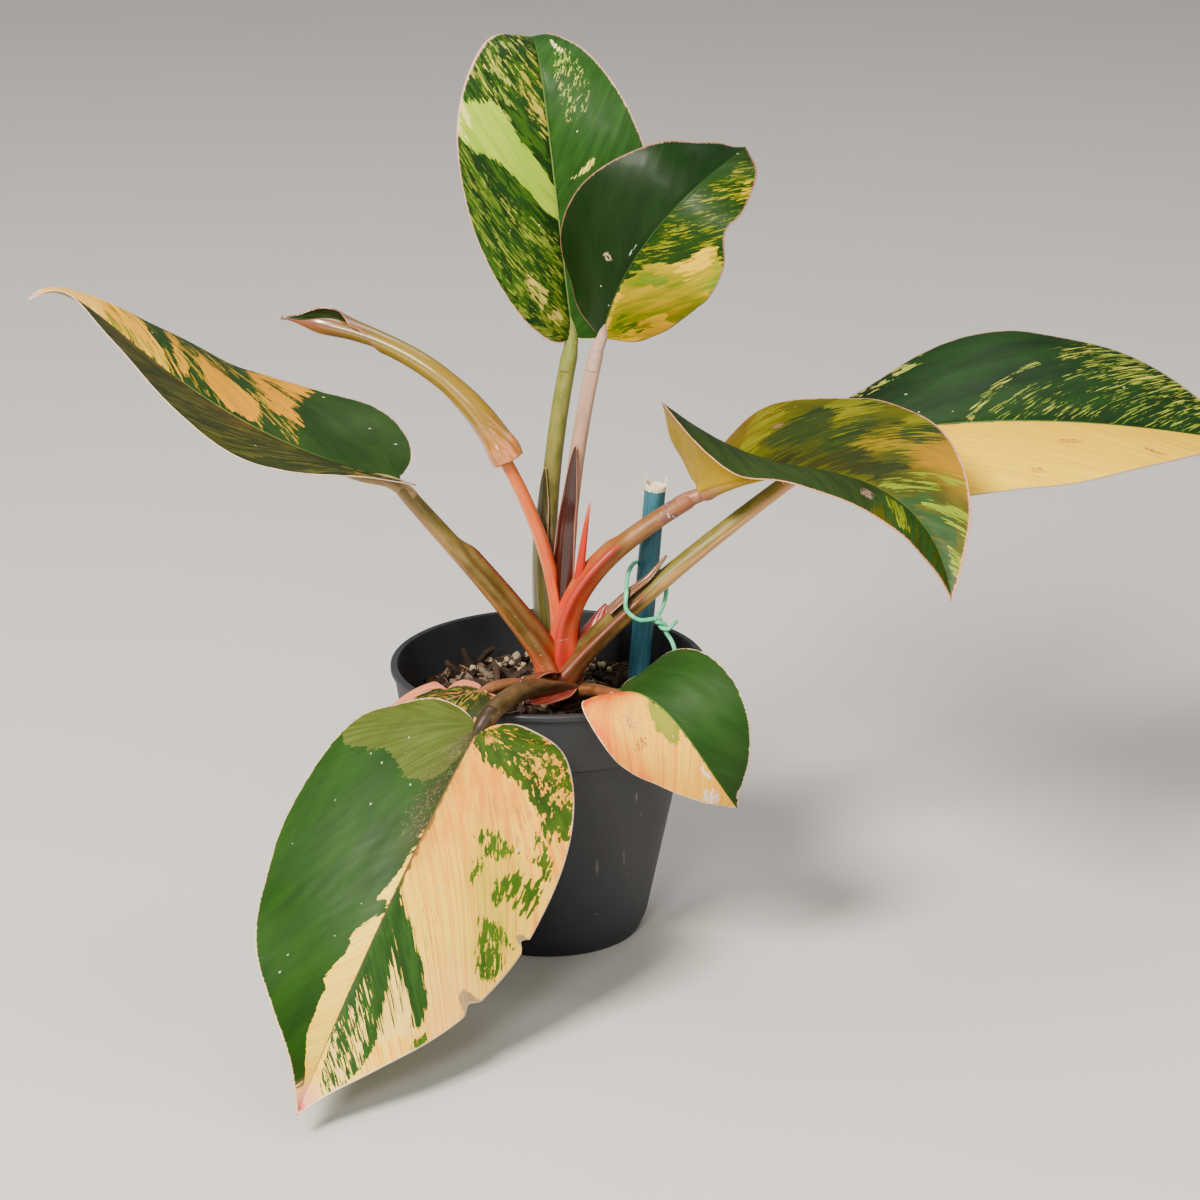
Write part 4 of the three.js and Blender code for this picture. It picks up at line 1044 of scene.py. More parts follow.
def stalk_look(name, stalk):
    shade = Shade(f"stalk_{name}")
    share, along, around, upper, ridge = shade.numbers("share", "along", "round", "upper", "ridge")
    seed = 3.7 * len(name) + 11 * sum(map(ord, name)) % 50
    streaks = shade.even_noise(shade.vector(along / 22, around / 1.1, seed), 1.0, 3.0)
    blotches = shade.even_noise(shade.vector(along / 9, around / 5, seed))
    place = shade.vector(along, around, seed)
    shifted = share + (blotches - 0.5) * 0.12
    over = shade.step(upper + (streaks - 0.5) * 0.25, *stalk.get("split", (0.05, 0.5)))
    colour = shade.mix(over, shade.ramp(shifted, stalk["lower"]), shade.ramp(shifted, stalk["upper"]))
    colour = shade.mix(streaks * 0.24, colour, "3c2410")
    colour = shade.mix(blotches * 0.12, colour, "e0a468")
    colour = shade.mix(shade.step(ridge, 0.25, 0.75, 0.0, 0.85), colour, stalk["edge"])
    if "scar" in stalk:
        off = abs(shifted - stalk["scar"])
        marks = shade.specks(place, 0.5, 0.3, 0.4)
        colour = shade.mix(shade.step(off, 0.035, 0.015, 0.0, 0.6), colour, "6c4450")
        colour = shade.mix(marks * shade.step(off, 0.05, 0.02), colour, "d8c4c4")
    colour = shade.mix(shade.specks(place, 0.45, 0.12, 0.35) * 0.5, colour, "d8c09a")
    rough = shade.step(blotches, 0.0, 1.0, 0.36, 0.52)
    return shade.finish(colour, rough, 0.35, streaks, 0.3, 0.12, coat=(0.05, 0.25))


def scale_grid(rows, columns):
    """How far along (0 to 1) and across (-1 to 1) the points of a small leafy scale lie."""
    return np.meshgrid(np.linspace(0, 1, rows), np.linspace(-1, 1, columns), indexing="ij")


def build_sheath(name, stalk):
    """The free, spear-shaped end of a stalk's sheath, wrapped round the stalk's upper side."""
    start, end, half_width, lift = stalk["sheath"]
    along, across = scale_grid(*SHEATH_GRID)
    share = lerp(start, end, along)
    sideways = (half_width * (1 - along**2.6) ** 0.8 + 0.3) * across
    wrap = stalk_radius(stalk, share, np.full_like(share, WING_ANGLE))[0] + 0.4
    rise = np.sqrt(np.maximum(wrap**2 - 0.9 * sideways**2, 0.04)) + lift * along**3
    middle = beside(frames_on(stalk["path"], share, stalk["face"]), sideways, rise)
    thickness = lerp(SHEATH_HALF_THICKNESS, SHEATH_EDGE_HALF_THICKNESS, np.abs(across) ** 3)
    ridge = 0.3 * hump(across / 0.12) + 0.25 * hump((np.abs(across) - 0.94) / 0.05)
    look = spear_look(f"sheath_{name}", stalk["sheath_colours"], stalk["edge"])
    add_piece(f"sheath_{name}", f"stalk_{name}", closed_sheet(middle, thickness + ridge, thickness), look,
              twice(along=along, across=across))


def spear_look(name, colours, edge_colour):
    shade = Shade(name)
    along, across = shade.numbers("along", "across")
    streaks = shade.even_noise(shade.vector(along * 3, across * 5, 2.0))
    colour = shade.mix(streaks, *colours.split())
    colour = shade.mix(shade.step(abs(across), 0.84, 0.95), colour, edge_colour)
    return shade.finish(colour, 0.26, 0.5, streaks, 0.15, 0.1, coat=(0.4, 0.14))


# Small scales at the crown: a pink tongue and a brown bract beside the front stalk, and a pink
# bract behind the right one
BRACTS = {
    "pink_tongue": dict(
        path=[(9, -9, 108), (8, -20, 110), (2, -32, 112), (-7, -40, 113)], face=(-0.3, -0.8, 0.5),
        half_width=3.2, colours="c0382c dc6450", edge="ec9c84"),
    "brown_bract": dict(
        path=[(3, -5, 108), (-1, -14, 117), (-4, -25, 121), (-11, -36, 120)], face=(-0.5, -0.5, 0.7),
        half_width=4.6, colours="4c2418 7c4430", edge="a86450"),
    "pink_bract": dict(
        path=[(9, 1, 114), (14, 3, 124), (18, 5, 131), (24, 7, 138)], face=(-0.5, -0.6, 0.6),
        half_width=4.4, colours="a83c34 d8645c", edge="e08c80"),
}


def build_bract(name, bract):
    along, across = scale_grid(*BRACT_GRID)
    width = bract["half_width"] * np.sqrt(np.sin(np.pi * lerp(0.3, 0.985, along)))
    rise = -0.45 * width * across**2 + 0.5 * waves(along * 2 + across, len(name))
    middle = beside(frames_on(bract["path"], along, bract["face"]), width * across, rise)
    thickness = lerp(BRACT_HALF_THICKNESS, BRACT_EDGE_HALF_THICKNESS, np.abs(across) ** 2)
    look = spear_look(name, bract["colours"], bract["edge"])
    add_piece(name, "crown", closed_sheet(middle, thickness, thickness), look,
              twice(along=along, across=across))


def build_rib(name, stalk, leaf):
    """Where a stalk runs on under its blade as a rib that thins toward the tip."""
    start = bezier(stalk["path"], np.array([0.9, 0.95]))
    below = np.array([0.012, 0.05, 0.1, 0.17, 0.25, 0.34, RIB_REACH])
    full = 0.94 * lerp(*stalk["radii"], 0.9**0.7)
    thin = lerp(0.82 * full, RIB_END_RADIUS, (below / RIB_REACH) ** 0.6)
    sink = (thin + 0.1) * (0.4 + 0.6 * smooth(below / 0.05))
    point, _, up, _ = frames_on(leaf["path"], below, leaf["face_base"], leaf["face_tip"])
    spots = point - up * sink[:, None]
    line = catmull_rom(np.concatenate([start, spots]), RIB_STEPS)
    share = np.linspace(0, 1, RIB_STEPS)
    nearest = [np.argmin(np.linalg.norm(line - spot, axis=1)) for spot in spots]
    radius = np.interp(share, [0, *share[nearest]], [full, *thin])
    body = wire_tube(line, radius, RIB_SIDES, leaf["face_base"])
    values = {"share": np.append(np.repeat(share, RIB_SIDES), [0, 1])}
    add_piece(f"rib_{name}", f"blade_{name}", body, rib_look(name, stalk, leaf), values)


def rib_look(name, stalk, leaf):
    shade = Shade(f"rib_{name}")
    share, = shade.numbers("share")
    grain = shade.even_noise(shade.place(), 0.5, 3.0)
    start = stalk.get("rib", stalk["lower"][-1][1])
    end = leaf.get("under", UNDERSIDE)
    tone = shade.ramp(share + (grain - 0.5) * 0.1, [(0, start), (0.2, start), (0.5, end), (1, end)])
    return shade.finish(shade.mix(grain * 0.25, tone, "4a3818"), 0.36, 0.4, grain, 0.2, 0.1)


# The rolled young leaf. Its lists run from its base to its tip: the radius, the angles of its
# outer and of its inner edge in degrees, and how far its outer edge flares. The pitch is how
# far its turns lie apart

ROLL_PATH = [(-15.5, 2, 202), (-33, 6, 236), (-64, 14, 254), (-108, 22, 256)]
ROLL_FACE = (0.5, -0.8, 0.3)
ROLL_RADII = [(0, 6.2), (0.06, 6.8), (0.16, 5.6), (0.4, 4.5), (0.65, 4.2), (0.86, 4.6), (1, 0.8)]
ROLL_OUTER = [(0, -120), (0.6, -110), (0.75, 0), (0.86, 90), (1, 120)]
ROLL_INNER = [(0, 400), (0.8, 400), (1, 330)]
ROLL_FLARE = [(0, 0.4), (0.08, 0), (0.7, 0), (0.86, 2.2), (1, 0)]
ROLL_PITCH = 1.25
ROLL_ROWS = 180
ROLL_COLUMNS = 130


def build_roll():
    along, inward = np.meshgrid(np.linspace(0, 1, ROLL_ROWS + 1), np.linspace(0, 1, ROLL_COLUMNS + 1),
                                indexing="ij")
    outer = along_list(ROLL_OUTER, along) * DEGREE
    wound = inward * (along_list(ROLL_INNER, along) * DEGREE - outer)
    angle = outer + wound
    flare = along_list(ROLL_FLARE, along) * (1 - inward) ** 3
    crinkle = 0.5 * hump(along / 0.14) * np.sin(46 * along + 3 * np.sin(2 * angle) + 4 * angle)
    tightening = ROLL_PITCH * wound / (2 * np.pi)
    radius = np.maximum(0.5, along_list(ROLL_RADII, along) + flare - tightening + crinkle)
    frames = frames_on(ROLL_PATH, along, ROLL_FACE)
    middle = beside(frames, radius * np.sin(angle), radius * np.cos(angle))
    thickness = np.full(along.shape, HALF_THICKNESS)
    values = two_faced(along, inward=inward, turn=angle)
    add_piece("young_leaf_rolled", "rolled_leaf", closed_sheet(middle, thickness, thickness), roll_look(),
              values)


def roll_look():
    shade = Shade("rolled_leaf")
    along, turn, face, inward = shade.numbers("along", "turn", "face", "inward")
    streaks = shade.even_noise(shade.vector(along * 5, turn * 5, 1.0), 1.0, 3.0)
    blotches = shade.even_noise(shade.vector(along * 12, turn, 4.0))
    outside = shade.ramp(along + (blotches - 0.5) * 0.1, [
        (0, "cc783c"), (0.05, "b87430"), (0.12, "98681c"), (0.24, "90701c"),
        (0.5, "8c7420"), (0.72, "786020"), (0.85, "7c5030"), (1, "8c4840"),
    ])
    colour = shade.mix(streaks * 0.3, outside, "4c3c10")
    colour = shade.mix(face, shade.mix(streaks, "1c2c10", "34401c"), colour)
    colour = shade.mix(shade.step(inward, 0.03, 0.012), colour, "8c5448")
    return shade.finish(colour, 0.24, 0.6, streaks, 0.15, 0.1, coat=(1.0, 0.16))


# Shoot tip, crown, stake and wire

def build_shoot():
    share = np.linspace(0, 1, SHOOT_STEPS)
    angle = angles_round(SHOOT_STEPS, SHOOT_SIDES)
    radius = lerp(*SHOOT_RADII, share**1.6)[:, None] * (1 - 0.15 * np.cos(angle) ** 8)
    body = tube(frames_on(SHOOT_PATH, share, (0, -1, 0)), radius, angle)
    add_piece("red_shoot_tip", "shoot_tip", body, shoot_look(), rod_values(SHOOT_PATH, share, np.abs(angle)))


def shoot_look():
    shade = Shade("shoot_tip")
    along, around, share = shade.numbers("along", "round", "share")
    streaks = shade.even_noise(shade.vector(along / 12, around, 5.0), 1.0, 3.0)
    tone = shade.ramp(share, [(0, "b0260f"), (0.5, "c02410"), (0.85, "c43818"), (1, "d07850")])
    return shade.finish(shade.mix(streaks * 0.35, tone, "8c2c20"), 0.36, 0.25, streaks, 0.2, 0.1)


def build_crown():
    share = np.linspace(0, 1, CROWN_STEPS)
    angle = angles_round(CROWN_STEPS, CROWN_SIDES)
    path = lerp(np.array(CROWN_FOOT), np.array(CROWN_TOP), np.linspace(0, 1, 4)[:, None])
    swell = 1.6 * smooth((share - CROWN_SHARE_BELOW_SOIL) / (1 - CROWN_SHARE_BELOW_SOIL))
    rings = 0.35 * np.cos(share * 60) * (share > CROWN_SHARE_BELOW_SOIL)
    lumps = 0.3 * np.sin(9 * angle + 4 * np.sin(share * 40)[:, None])
    radius = (CROWN_RADIUS + swell + rings)[:, None] + lumps
    body = tube(frames_on(path, share, (0, -1, 0.1)), radius, angle)
    add_piece("plant_crown", "crown", body, crown_look(), rod_values(path, share, np.abs(angle)))


def crown_look():
    shade = Shade("crown")
    along, around = shade.numbers("along", "round")
    bark = shade.even_noise(shade.vector(along / 6, around, 5.0), 2.0, 4.0, 0.7)
    return shade.finish(shade.mix(bark, "4a2c1e", "8a5034"), 0.6, 0.3, bark, 0.6, 0.5)


def build_stake():
    """A dyed bamboo stake whose cut top is raw, with splinters standing. The rings run up its
    wall and then inward over the cut, by their share of the radius and how far they are sunk."""
    cut_rings = [(0.9, 0.2), (0.75, -0.4), (0.45, -0.9), (0.2, -0.5)]
    foot, top = np.array(STAKE_FOOT, float), np.array(STAKE_TOP, float)
    length = np.linalg.norm(top - foot)
    way = unit(top - foot)
    face = np.array([0, -1, 0.1])
    up = unit(face - face @ way * way)
    angle = angles_round(1, STAKE_SIDES)[0]
    splinters = np.abs(waves(angle / math.pi * 6, SEED, 6)) ** 1.5 * 2.6
    splinters = splinters + 4.2 * hump((np.abs(angle) - 1.7) / 0.2)

    def ring(centre, radius, rise):
        spots = beside((centre, way, up, np.cross(way, up)), radius * np.sin(angle), radius * np.cos(angle))
        return spots + way * rise[:, None]

    share = np.append(np.linspace(0, STAKE_CUT, 70), [0.99, 0.995, 1.0])
    wall = STAKE_RADIUS + 0.06 * waves(share * 4, 3)[:, None] + 0.05 * np.sin(7 * angle)
    rise = splinters * smooth((share - STAKE_CUT) / (1 - STAKE_CUT))[:, None]
    rings = [ring(lerp(foot, top, place), *sizes) for place, *sizes in zip(share, wall, rise)]
    for spread, sink in cut_rings:
        radius = STAKE_RADIUS * spread + 0.2 * waves(angle / math.pi * 5, SEED + 2)
        rings.append(ring(top, radius, sink + splinters * 0.5 * (spread > 0.8)))
    along = np.append(share * length, [length] * len(cut_rings))
    raw = np.concatenate([np.zeros(len(share) - 3), [0.6, 0.6, 1], np.ones(len(cut_rings))])
    values = {
        "along": np.append(np.repeat(along, STAKE_SIDES), [0, length]),
        "round": np.append(np.tile(np.abs(angle), len(rings)), [0, 0]),
        "raw": np.append(np.repeat(raw, STAKE_SIDES), [0, 1]),
    }
    add_piece("bamboo_stake", "stake", capped(np.array(rings), foot, top - way * 0.4), stake_look(), values)


def stake_look():
    shade = Shade("stake")
    along, around, raw = shade.numbers("along", "round", "raw")
    fibres = shade.even_noise(shade.vector(along / 30, around * 7, 1.0), 1.0, 4.0, 0.7)
    wear = shade.even_noise(shade.vector(along / 14, around * 2, 4.0))
    dyed = shade.mix(wear * 0.3, shade.mix(fibres, "123c4c", "2c6a7a"), "4a8490")
    cut = shade.step(raw + (fibres - 0.5) * 0.3, 0.35, 0.6)
    colour = shade.mix(cut, dyed, shade.mix(fibres, "c8b48c", "efe4c8"))
    return shade.finish(colour, 0.5, 0.35, fibres, 0.4, 0.15)


# The wire of the tie runs up its long end, through the twist, round the loop and back through
# the twist to its short end
TIE_LOOP = [
    (44, -8, 137), (37, -9, 137), (32, -7.5, 141), (32, -4, 147), (32.5, 5, 151), (34, 14, 152),
    (37, 23, 151), (42.5, 24.5, 149), (47.5, 21, 146), (48.5, 12, 142), (47, 2, 139), (44.5, -5, 136.5),
]
TIE_TWIST = [(44.5, -7, 136.5), (48.5, -9, 132.5)]
TIE_SHORT_END = [(50, -9.5, 134), (52.5, -10, 137)]
TIE_LONG_END = [(50.5, -10, 128), (53, -14, 121), (54, -18, 118)]


def twist_points(phase):
    """One of the two strands of the twist, from the loop outward."""
    start, end = np.array(TIE_TWIST, float)
    axis = unit(end - start)
    side = unit(np.cross(axis, (0, -1, 0)))
    share = np.linspace(0, 1, 5)[:, None]
    angle = phase + 2 * np.pi * 0.9 * share
    turned_side = side * np.cos(angle) + np.cross(side, axis) * np.sin(angle)
    return lerp(start, end, share) + TWIST_RADIUS * turned_side


def build_tie():
    long_end = np.concatenate([twist_points(0), TIE_LONG_END])[::-1]
    short_end = np.concatenate([twist_points(math.pi), TIE_SHORT_END])
    line = catmull_rom(np.concatenate([long_end, TIE_LOOP, short_end]), TIE_STEPS)
    radius = np.full(TIE_STEPS, WIRE_RADIUS)
    radius[[0, -1]] *= 0.7
    look = mottled_look("wire_tie", "3fae7c 74d8a8", (0.25, 3.0), 0.34, 0.5, 0.2, 0.1)
    add_piece("mint_wire_tie", "wire_tie", wire_tube(line, radius, TIE_SIDES), look)


# Pot and soil

def round_corners(profile, steps=4):
    """A profile of [radius, height] pairs with each corner turned into a small arc."""
    profile = np.array(profile, float)
    points = [profile[0]]
    for before, corner, after in zip(profile[:-2], profile[1:-1], profile[2:]):
        to_before, to_after = before - corner, after - corner
        reach = min(CORNER_RADIUS, 0.45 * np.linalg.norm(to_before), 0.45 * np.linalg.norm(to_after))
        for t in np.linspace(0, 1, steps + 1):
            points.append(corner + reach * ((1 - t) ** 2 * unit(to_before) + t**2 * unit(to_after)))
    return np.array(points + [profile[-1]])


def split_long(profile, longest=5.0):
    points = [profile[0]]
    for start, end in zip(profile[:-1], profile[1:]):
        count = max(1, math.ceil(np.linalg.norm(end - start) / longest))
        points += [lerp(start, end, k / count) for k in range(1, count + 1)]
    return np.array(points)


def pot_profile():
    ledge = POT_HEIGHT - BAND_HEIGHT
    below = BAND_RADIUS - LEDGE_STEP
    return [
        (0, 0),
        (BASE_RADIUS, 0),
        (FOOT_RADIUS, FOOT_HEIGHT),
        (below, ledge - LEDGE_SLOPE),
        (BAND_RADIUS, ledge),
        (BAND_TOP_RADIUS, POT_HEIGHT - LIP_HEIGHT - RIM_EDGE),
        (RIM_RADIUS, POT_HEIGHT - LIP_HEIGHT),
        (RIM_RADIUS, POT_HEIGHT - RIM_EDGE),
        (RIM_RADIUS - RIM_EDGE, POT_HEIGHT),
        (BAND_TOP_RADIUS - WALL, POT_HEIGHT),
        (BAND_RADIUS - WALL, ledge),
        (below - WALL, ledge - LEDGE_SLOPE),
        (FOOT_RADIUS - WALL, FOOT_HEIGHT),
        (BASE_RADIUS - WALL, FLOOR),
        (0, FLOOR),
    ]


def build_pot():
    body = lathe(split_long(round_corners(pot_profile())), POT_SIDES)
    add_piece("nursery_pot", "pot", body, pot_look())


# Whitish scuffs on the front of the pot: centre and half size
POT_SCUFFS = [((20, -45, 42), (1.1, 6, 6)), ((31, -37, 44), (0.7, 6, 5)), ((36, -41, 72), (0.6, 6, 4))]


def pot_look():
    shade = Shade("pot")
    place = shade.place()
    cloud = shade.even_noise(place, 0.03, 3.0)
    colour = shade.mix(cloud, "212226", "2d2f34")
    leaning = {"Vector": place, "Rotation": (0.3, 0.2, 0.9), "Scale": (1, 1, 0.12)}
    scratches = shade.noise(shade.add("ShaderNodeMapping", leaning), 0.22, 5.0, 0.75)
    patches = shade.noise(place, 0.045, 2.0)
    scuffs = shade.step(scratches, 0.66, 0.74) * shade.step(patches, 0.56, 0.66)
    colour = shade.mix(scuffs * 0.5, colour, "8c8e92")
    for centre, size in POT_SCUFFS:
        off = shade.add("ShaderNodeVectorMath", {0: place, 1: centre}, operation="SUBTRACT")
        off = shade.add("ShaderNodeVectorMath", {0: off, 1: size}, operation="DIVIDE")
        reach = shade.add("ShaderNodeVectorMath", {0: off}, "Value", operation="LENGTH")
        mark = shade.step(reach, 1.0, 0.0) * shade.even_noise(place, 0.9, 4.0, 0.8)
        colour = shade.mix(mark * 0.5, colour, "9c9ca0")
    colour = shade.mix(shade.specks(place, 0.16, 0.07, 0.3) * 0.35, colour, "9a968c")
    rough = shade.step(cloud, 0.0, 1.0, 0.46, 0.6)
    return shade.finish(colour, rough, 0.4, shade.noise(place, 1.2, 3.0), 0.12, 0.15)


def inner_radius(height):
    ledge = POT_HEIGHT - BAND_HEIGHT
    if height < ledge:
        share = (height - FOOT_HEIGHT) / (ledge - LEDGE_SLOPE - FOOT_HEIGHT)
        return lerp(FOOT_RADIUS, BAND_RADIUS - LEDGE_STEP, share) - WALL
    return lerp(BAND_RADIUS, BAND_TOP_RADIUS, (height - ledge) / BAND_HEIGHT) - WALL


SOIL_RADIUS = inner_radius(SOIL_LEVEL)


def soil_height(x, y):
    swell = np.sin(x * 0.11 + 1.3) * np.cos(y * 0.13 - 0.4)
    lumps = np.sin(x * 0.37 + y * 0.21) * np.sin(y * 0.43 - x * 0.17 + 2)
    return SOIL_LEVEL + SOIL_BUMP * (0.7 * swell + 0.5 * lumps)


def soil_profile():
    top = SOIL_RADIUS - SOIL_GAP
    wall = [
        (0, FLOOR + SOIL_GAP),
        (BASE_RADIUS - WALL - 1, FLOOR + SOIL_GAP),
        (inner_radius(FOOT_HEIGHT) - 1, FOOT_HEIGHT),
        (inner_radius(88) - 1, 88),
        (top, SOIL_LEVEL - 1),
    ]
    rings = [(top * share, SOIL_LEVEL) for share in np.linspace(0.99, 0.02, SOIL_RINGS)]
    return np.array(wall + rings + [(0, SOIL_LEVEL)], float)


def build_soil_bed():
    points, faces = lathe(soil_profile(), SOIL_SIDES)
    random = np.random.default_rng(SEED)
    upper = points[:, 2] > SOIL_LEVEL - 0.5
    x, y = points[upper, 0], points[upper, 1]
    rough = np.zeros(len(x))
    for scale, size in ((0.5, 0.5), (1.1, 0.5), (2.3, 0.35)):
        turn = random.uniform(0, 6, 4)
        rough += size * np.sin(x * scale + turn[0] + 2 * np.sin(y * scale * 0.7 + turn[1]))
        rough += size * np.sin(y * scale + turn[2] + 2 * np.sin(x * scale * 0.8 + turn[3]))
    points[upper, 2] = soil_height(x, y) - 0.8 + 0.6 * rough
    look = mottled_look("soil", "1c130c 4c3828", (0.5, 5.0, 0.75), 0.95, 0.15, 0.8, 1.0)
    add_piece("soil_bed", "soil", (points, faces), look)


def soil_is_free(x, y, reach):
    """Whether a place on the soil is clear of the crown and of the stake."""
    share = (SOIL_LEVEL - STAKE_FOOT[2]) / (STAKE_TOP[2] - STAKE_FOOT[2])
    stake_x, stake_y, _ = lerp(np.array(STAKE_FOOT), np.array(STAKE_TOP), share)
    if math.hypot(x - CROWN_TOP[0], y - CROWN_TOP[1]) < CROWN_RADIUS + 1 + reach:
        return False
    return math.hypot(x - stake_x, y - stake_y) > STAKE_RADIUS + 0.5 + reach


def scatter(count, reach, random):
    places = []
    while len(places) < count:
        angle = 2 * math.pi * random.random()
        radius = (SOIL_RADIUS - reach - 0.8) * math.sqrt(random.random())
        x, y = radius * math.cos(angle), radius * math.sin(angle)
        if soil_is_free(x, y, reach):
            places.append((x, y, float(soil_height(x, y))))
    return places


def pull_inside(points, gap):
    """Draws points toward the pot's axis where they would reach into the wall."""
    points[:, :2] *= min(1, (SOIL_RADIUS - gap) / np.hypot(points[:, 0], points[:, 1]).max())
    return points


def turned(points, tilt, place):
    matrix = np.array(Euler(tilt).to_matrix())
    return points @ matrix.T + np.array(place)


def add_small_bodies(name, bodies, look, smooth_faces=True):
    """One piece on the soil of many small bodies: their points, their faces and their tone."""
    faces = []
    start = 0
    for points, part_faces, _ in bodies:
        faces += [[index + start for index in face] for face in part_faces]
        start += len(points)
    tones = np.concatenate([np.full(len(points), tone) for points, _, tone in bodies])
    points = np.concatenate([points for points, _, _ in bodies])
    add_piece(name, "soil", (points, faces), look, {"tone": tones}, smooth_faces)


def bark_chip(length, width, thickness, random, corners=9):
    """An irregular flat splinter of bark, with its long way along X."""
    turn = np.sort(random.uniform(-0.25, 0.25, corners))
    turn += np.linspace(0, 2 * math.pi, corners, endpoint=False)
    outline = np.stack([np.cos(turn) * length / 2, np.sin(turn) * width / 2], -1)
    outline *= random.uniform(0.75, 1.15, (corners, 1))
    rings = []
    for level, spread in ((-1, 0.8), (-0.5, 1.0), (0.4, 1.02), (1, 0.82)):
        ring = outline * spread + random.normal(0, 0.12, (corners, 2))
        height = level * thickness / 2 + random.normal(0, 0.16 * thickness, corners)
        height += 0.06 * ring[:, 0] * random.uniform(-1, 1)
        rings.append(np.column_stack([ring, height]))
    return capped(np.array(rings), rings[0].mean(0), rings[-1].mean(0))


# Chips that stand on end, by place and lean, and grains of perlite, by place and size, that the
# photo shows
STANDING_CHIPS = [(-34, 34, 1.1), (-40, 24, -0.9), (-28, 40, 0.8), (-22, 20, 0.7), (-6, 40, -0.8)]
PERLITE_PLACES = [(-21, 35, 1.4), (-14, 46, 1.9), (-9, 48, 1.7), (-12, 30, 1.3), (-16, 38, 1.2),
                  (-7, 42, 1.4), (18, 33, 1.5), (22, 35, 1.8), (-25, 42, 1.2), (-11, 36, 1.1),
                  (-5, 36, 1.2), (-18, 42, 1.3), (-23, 38, 1), (25, 30, 1.2)]


def build_chips():
    """Short chips first, then chips of any length, then long ones, then the standing ones."""
    random = np.random.default_rng(SEED + 1)
    bodies = []
    for number, (x, y, z) in enumerate(scatter(CHIP_COUNT, CHIP_REACH, random)):
        length = random.uniform(3.5, 12) if number < CHIPS_BEFORE_LONG else random.uniform(9, 18)
        length = min(length, 6.2 + 1.4 * random.random()) if number < SHORT_CHIPS else length
        points, faces = bark_chip(length, random.uniform(2, 4.6), random.uniform(1, 2.6), random)
        tilt = (random.normal(0, 0.35), random.normal(0, 0.3), random.uniform(0, 2 * math.pi))
        points = pull_inside(turned(points, tilt, (x, y, z + random.uniform(-0.2, 1.6))), 0.4)
        bodies.append((points, faces, random.random()))
    for x, y, lean in STANDING_CHIPS:
        points, faces = bark_chip(random.uniform(11, 15), random.uniform(3, 5), 2, random)
        points = turned(points, (0.3, lean, random.uniform(0, 6)), (x, y, SOIL_LEVEL + 5))
        bodies.append((points, faces, random.uniform(0.3, 0.8)))
    stops = [(0, "1e1613"), (0.35, "33251e"), (0.65, "49372b"), (0.85, "6e5a48"), (1, "988470")]
    look = toned_look("bark_chips", stops, "1e130d", 0.55, (0.9, 4.0, 0.7), 0.25, 0.7, 0.6)
    add_small_bodies("bark_chips", bodies, look, smooth_faces=False)


def ball():
    """Points and faces of a round ball with a radius of 1."""
    work = bmesh.new()
    bmesh.ops.create_icosphere(work, subdivisions=2, radius=1)
    points = np.array([vertex.co for vertex in work.verts])
    faces = [[vertex.index for vertex in face.verts] for face in work.faces]
    work.free()
    return points, faces


def build_perlite():
    random = np.random.default_rng(SEED + 2)
    sphere, faces = ball()
    bodies = []
    for x, y, z in scatter(PERLITE_COUNT, PERLITE_REACH, random):
        lumps = 1 + random.normal(0, 0.13, (len(sphere), 1))
        size = random.uniform(0.9, 2.4) * np.array([1, random.uniform(0.7, 1), random.uniform(0.6, 0.9)])
        tilt = random.uniform(0, 6, 3)
        points = turned(sphere * lumps * size, tilt, (x, y, z + random.uniform(0.2, 1.5)))
        bodies.append((points, faces, random.random()))
    for x, y, size in PERLITE_PLACES:
        lumps = 1 + random.normal(0, 0.15, (len(sphere), 1))
        points = turned(sphere * lumps * size, random.uniform(0, 6, 3), (x, y, SOIL_LEVEL + 3))
        bodies.append((points, faces, random.random()))
    look = mottled_look("perlite", "84745a d4c6a6", (1.6, 4.0, 0.8), 0.9, 0.2, 0.7, 0.4)
    add_small_bodies("perlite_grains", bodies, look)


def build_fibres():
    random = np.random.default_rng(SEED + 3)
    bodies = []
    for x, y, z in scatter(FIBRE_COUNT, FIBRE_REACH, random):
        length = random.uniform(8, 26)
        way = random.uniform(0, 2 * math.pi)
        share = np.linspace(-0.5, 0.5, FIBRE_STEPS)
        bend = random.uniform(-0.5, 0.5)
        rise = 1.4 * np.abs(share) * random.uniform(-1, 1) + 0.8 * np.sin(share * 7 + way)
        line = np.stack([share * length, bend * length * share**2, rise], -1)
        line = pull_inside(turned(line, (0, random.normal(0, 0.08), way), (x, y, z + 1.6)), 0.6)
        radius = np.full(len(line), random.uniform(0.18, 0.42))
        radius[[0, -1]] *= 0.4
        bodies.append((*wire_tube(line, radius, FIBRE_SIDES), random.random()))
    stops = [(0, "3a2618"), (0.6, "6e5238"), (1, "a08a66")]
    look = toned_look("soil_fibres", stops, "241810", 0.4, (1.2, 3.0), 0.2, 0.3, 0.2)
    add_small_bodies("soil_fibres", bodies, look)


# Floor, light and camera

CAMERA_PLACE = (21.2, -1622, 712)
CAMERA_PITCH = 19.35
CAMERA_LENS = 126
FLOOR_REACH = 9.0
LIGHT_TARGET = (0.03, -0.03, 0.2)


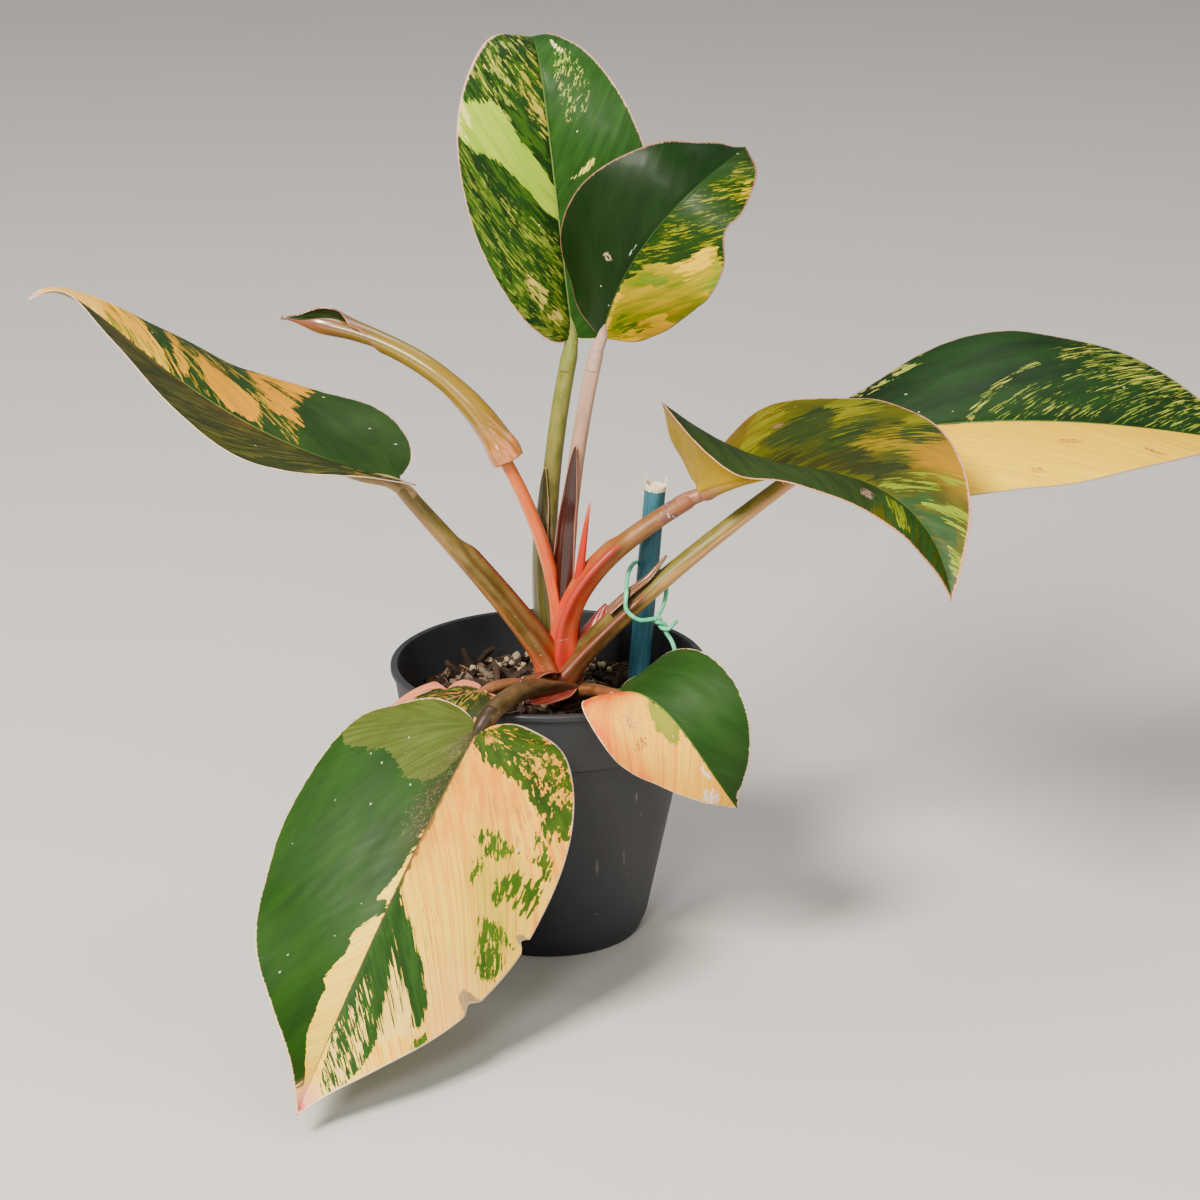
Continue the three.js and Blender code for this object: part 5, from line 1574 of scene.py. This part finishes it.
def add_stage():
    floor = bpy.data.meshes.new("floor")
    corners = [(x * FLOOR_REACH, y * FLOOR_REACH, 0) for x, y in ((-1, -1), (1, -1), (1, 1), (-1, 1))]
    floor.from_pydata(corners, [], [(0, 1, 2, 3)])
    shade = Shade("floor")
    mottle = shade.noise(shade.place(), 0.01, 2.0)
    floor.materials.append(shade.finish(shade.mix(mottle, "c9c7c3", "cdcbc7"), 0.9, 0.1))
    plane = bpy.data.objects.new("floor", floor)
    plane.location = (0, 0, -0.0002)
    bpy.context.scene.collection.objects.link(plane)
    world = bpy.data.worlds.new("studio")
    world.use_nodes = True
    background = world.node_tree.nodes["Background"]
    background.inputs["Color"].default_value = (1.0, 0.98, 0.96, 1)
    background.inputs["Strength"].default_value = 0.27
    bpy.context.scene.world = world


def add_light(name, place, size, power, colour):
    lamp = bpy.data.lights.new(name, "AREA")
    lamp.shape = "RECTANGLE"
    lamp.size, lamp.size_y = size
    lamp.energy = power
    lamp.color = colour
    holder = bpy.data.objects.new(name, lamp)
    holder.location = Vector(place)
    holder.rotation_euler = (Vector(LIGHT_TARGET) - Vector(place)).to_track_quat("-Z", "Y").to_euler()
    bpy.context.scene.collection.objects.link(holder)


def add_lights():
    add_light("key_light", (-0.9, -1.3, 1.7), (0.65, 0.65), 115, (1, 0.94, 0.83))
    add_light("front_light", (-0.35, -1.75, 1.05), (0.35, 0.35), 14, (1, 0.96, 0.88))
    add_light("fill_light", (1.5, -1.2, 1.0), (1.2, 1.2), 10, (1, 0.98, 0.95))
    add_light("top_light", (0.1, 0.5, 1.9), (1.4, 1.0), 16, (1, 0.98, 0.96))


def add_camera():
    camera = bpy.data.cameras.new("camera")
    camera.lens = CAMERA_LENS
    camera.sensor_width = 36
    camera.clip_end = 50
    holder = bpy.data.objects.new("camera", camera)
    holder.location = Vector(CAMERA_PLACE) * MM
    holder.rotation_euler = (math.radians(90 - CAMERA_PITCH), 0, 0)
    bpy.context.scene.collection.objects.link(holder)
    bpy.context.scene.camera = holder


build_pot()
build_soil_bed()
build_chips()
build_perlite()
build_fibres()
build_crown()
build_stake()
build_tie()
build_shoot()
for stalk_name, stalk_data in STALKS.items():
    build_stalk(stalk_name, stalk_data)
for bract_name, bract_data in BRACTS.items():
    build_bract(bract_name, bract_data)
for leaf_name, leaf_data in LEAVES.items():
    build_blade(leaf_name, leaf_data)
    build_rib(leaf_name, STALKS[leaf_name], leaf_data)
build_roll()
add_stage()
add_lights()
add_camera()
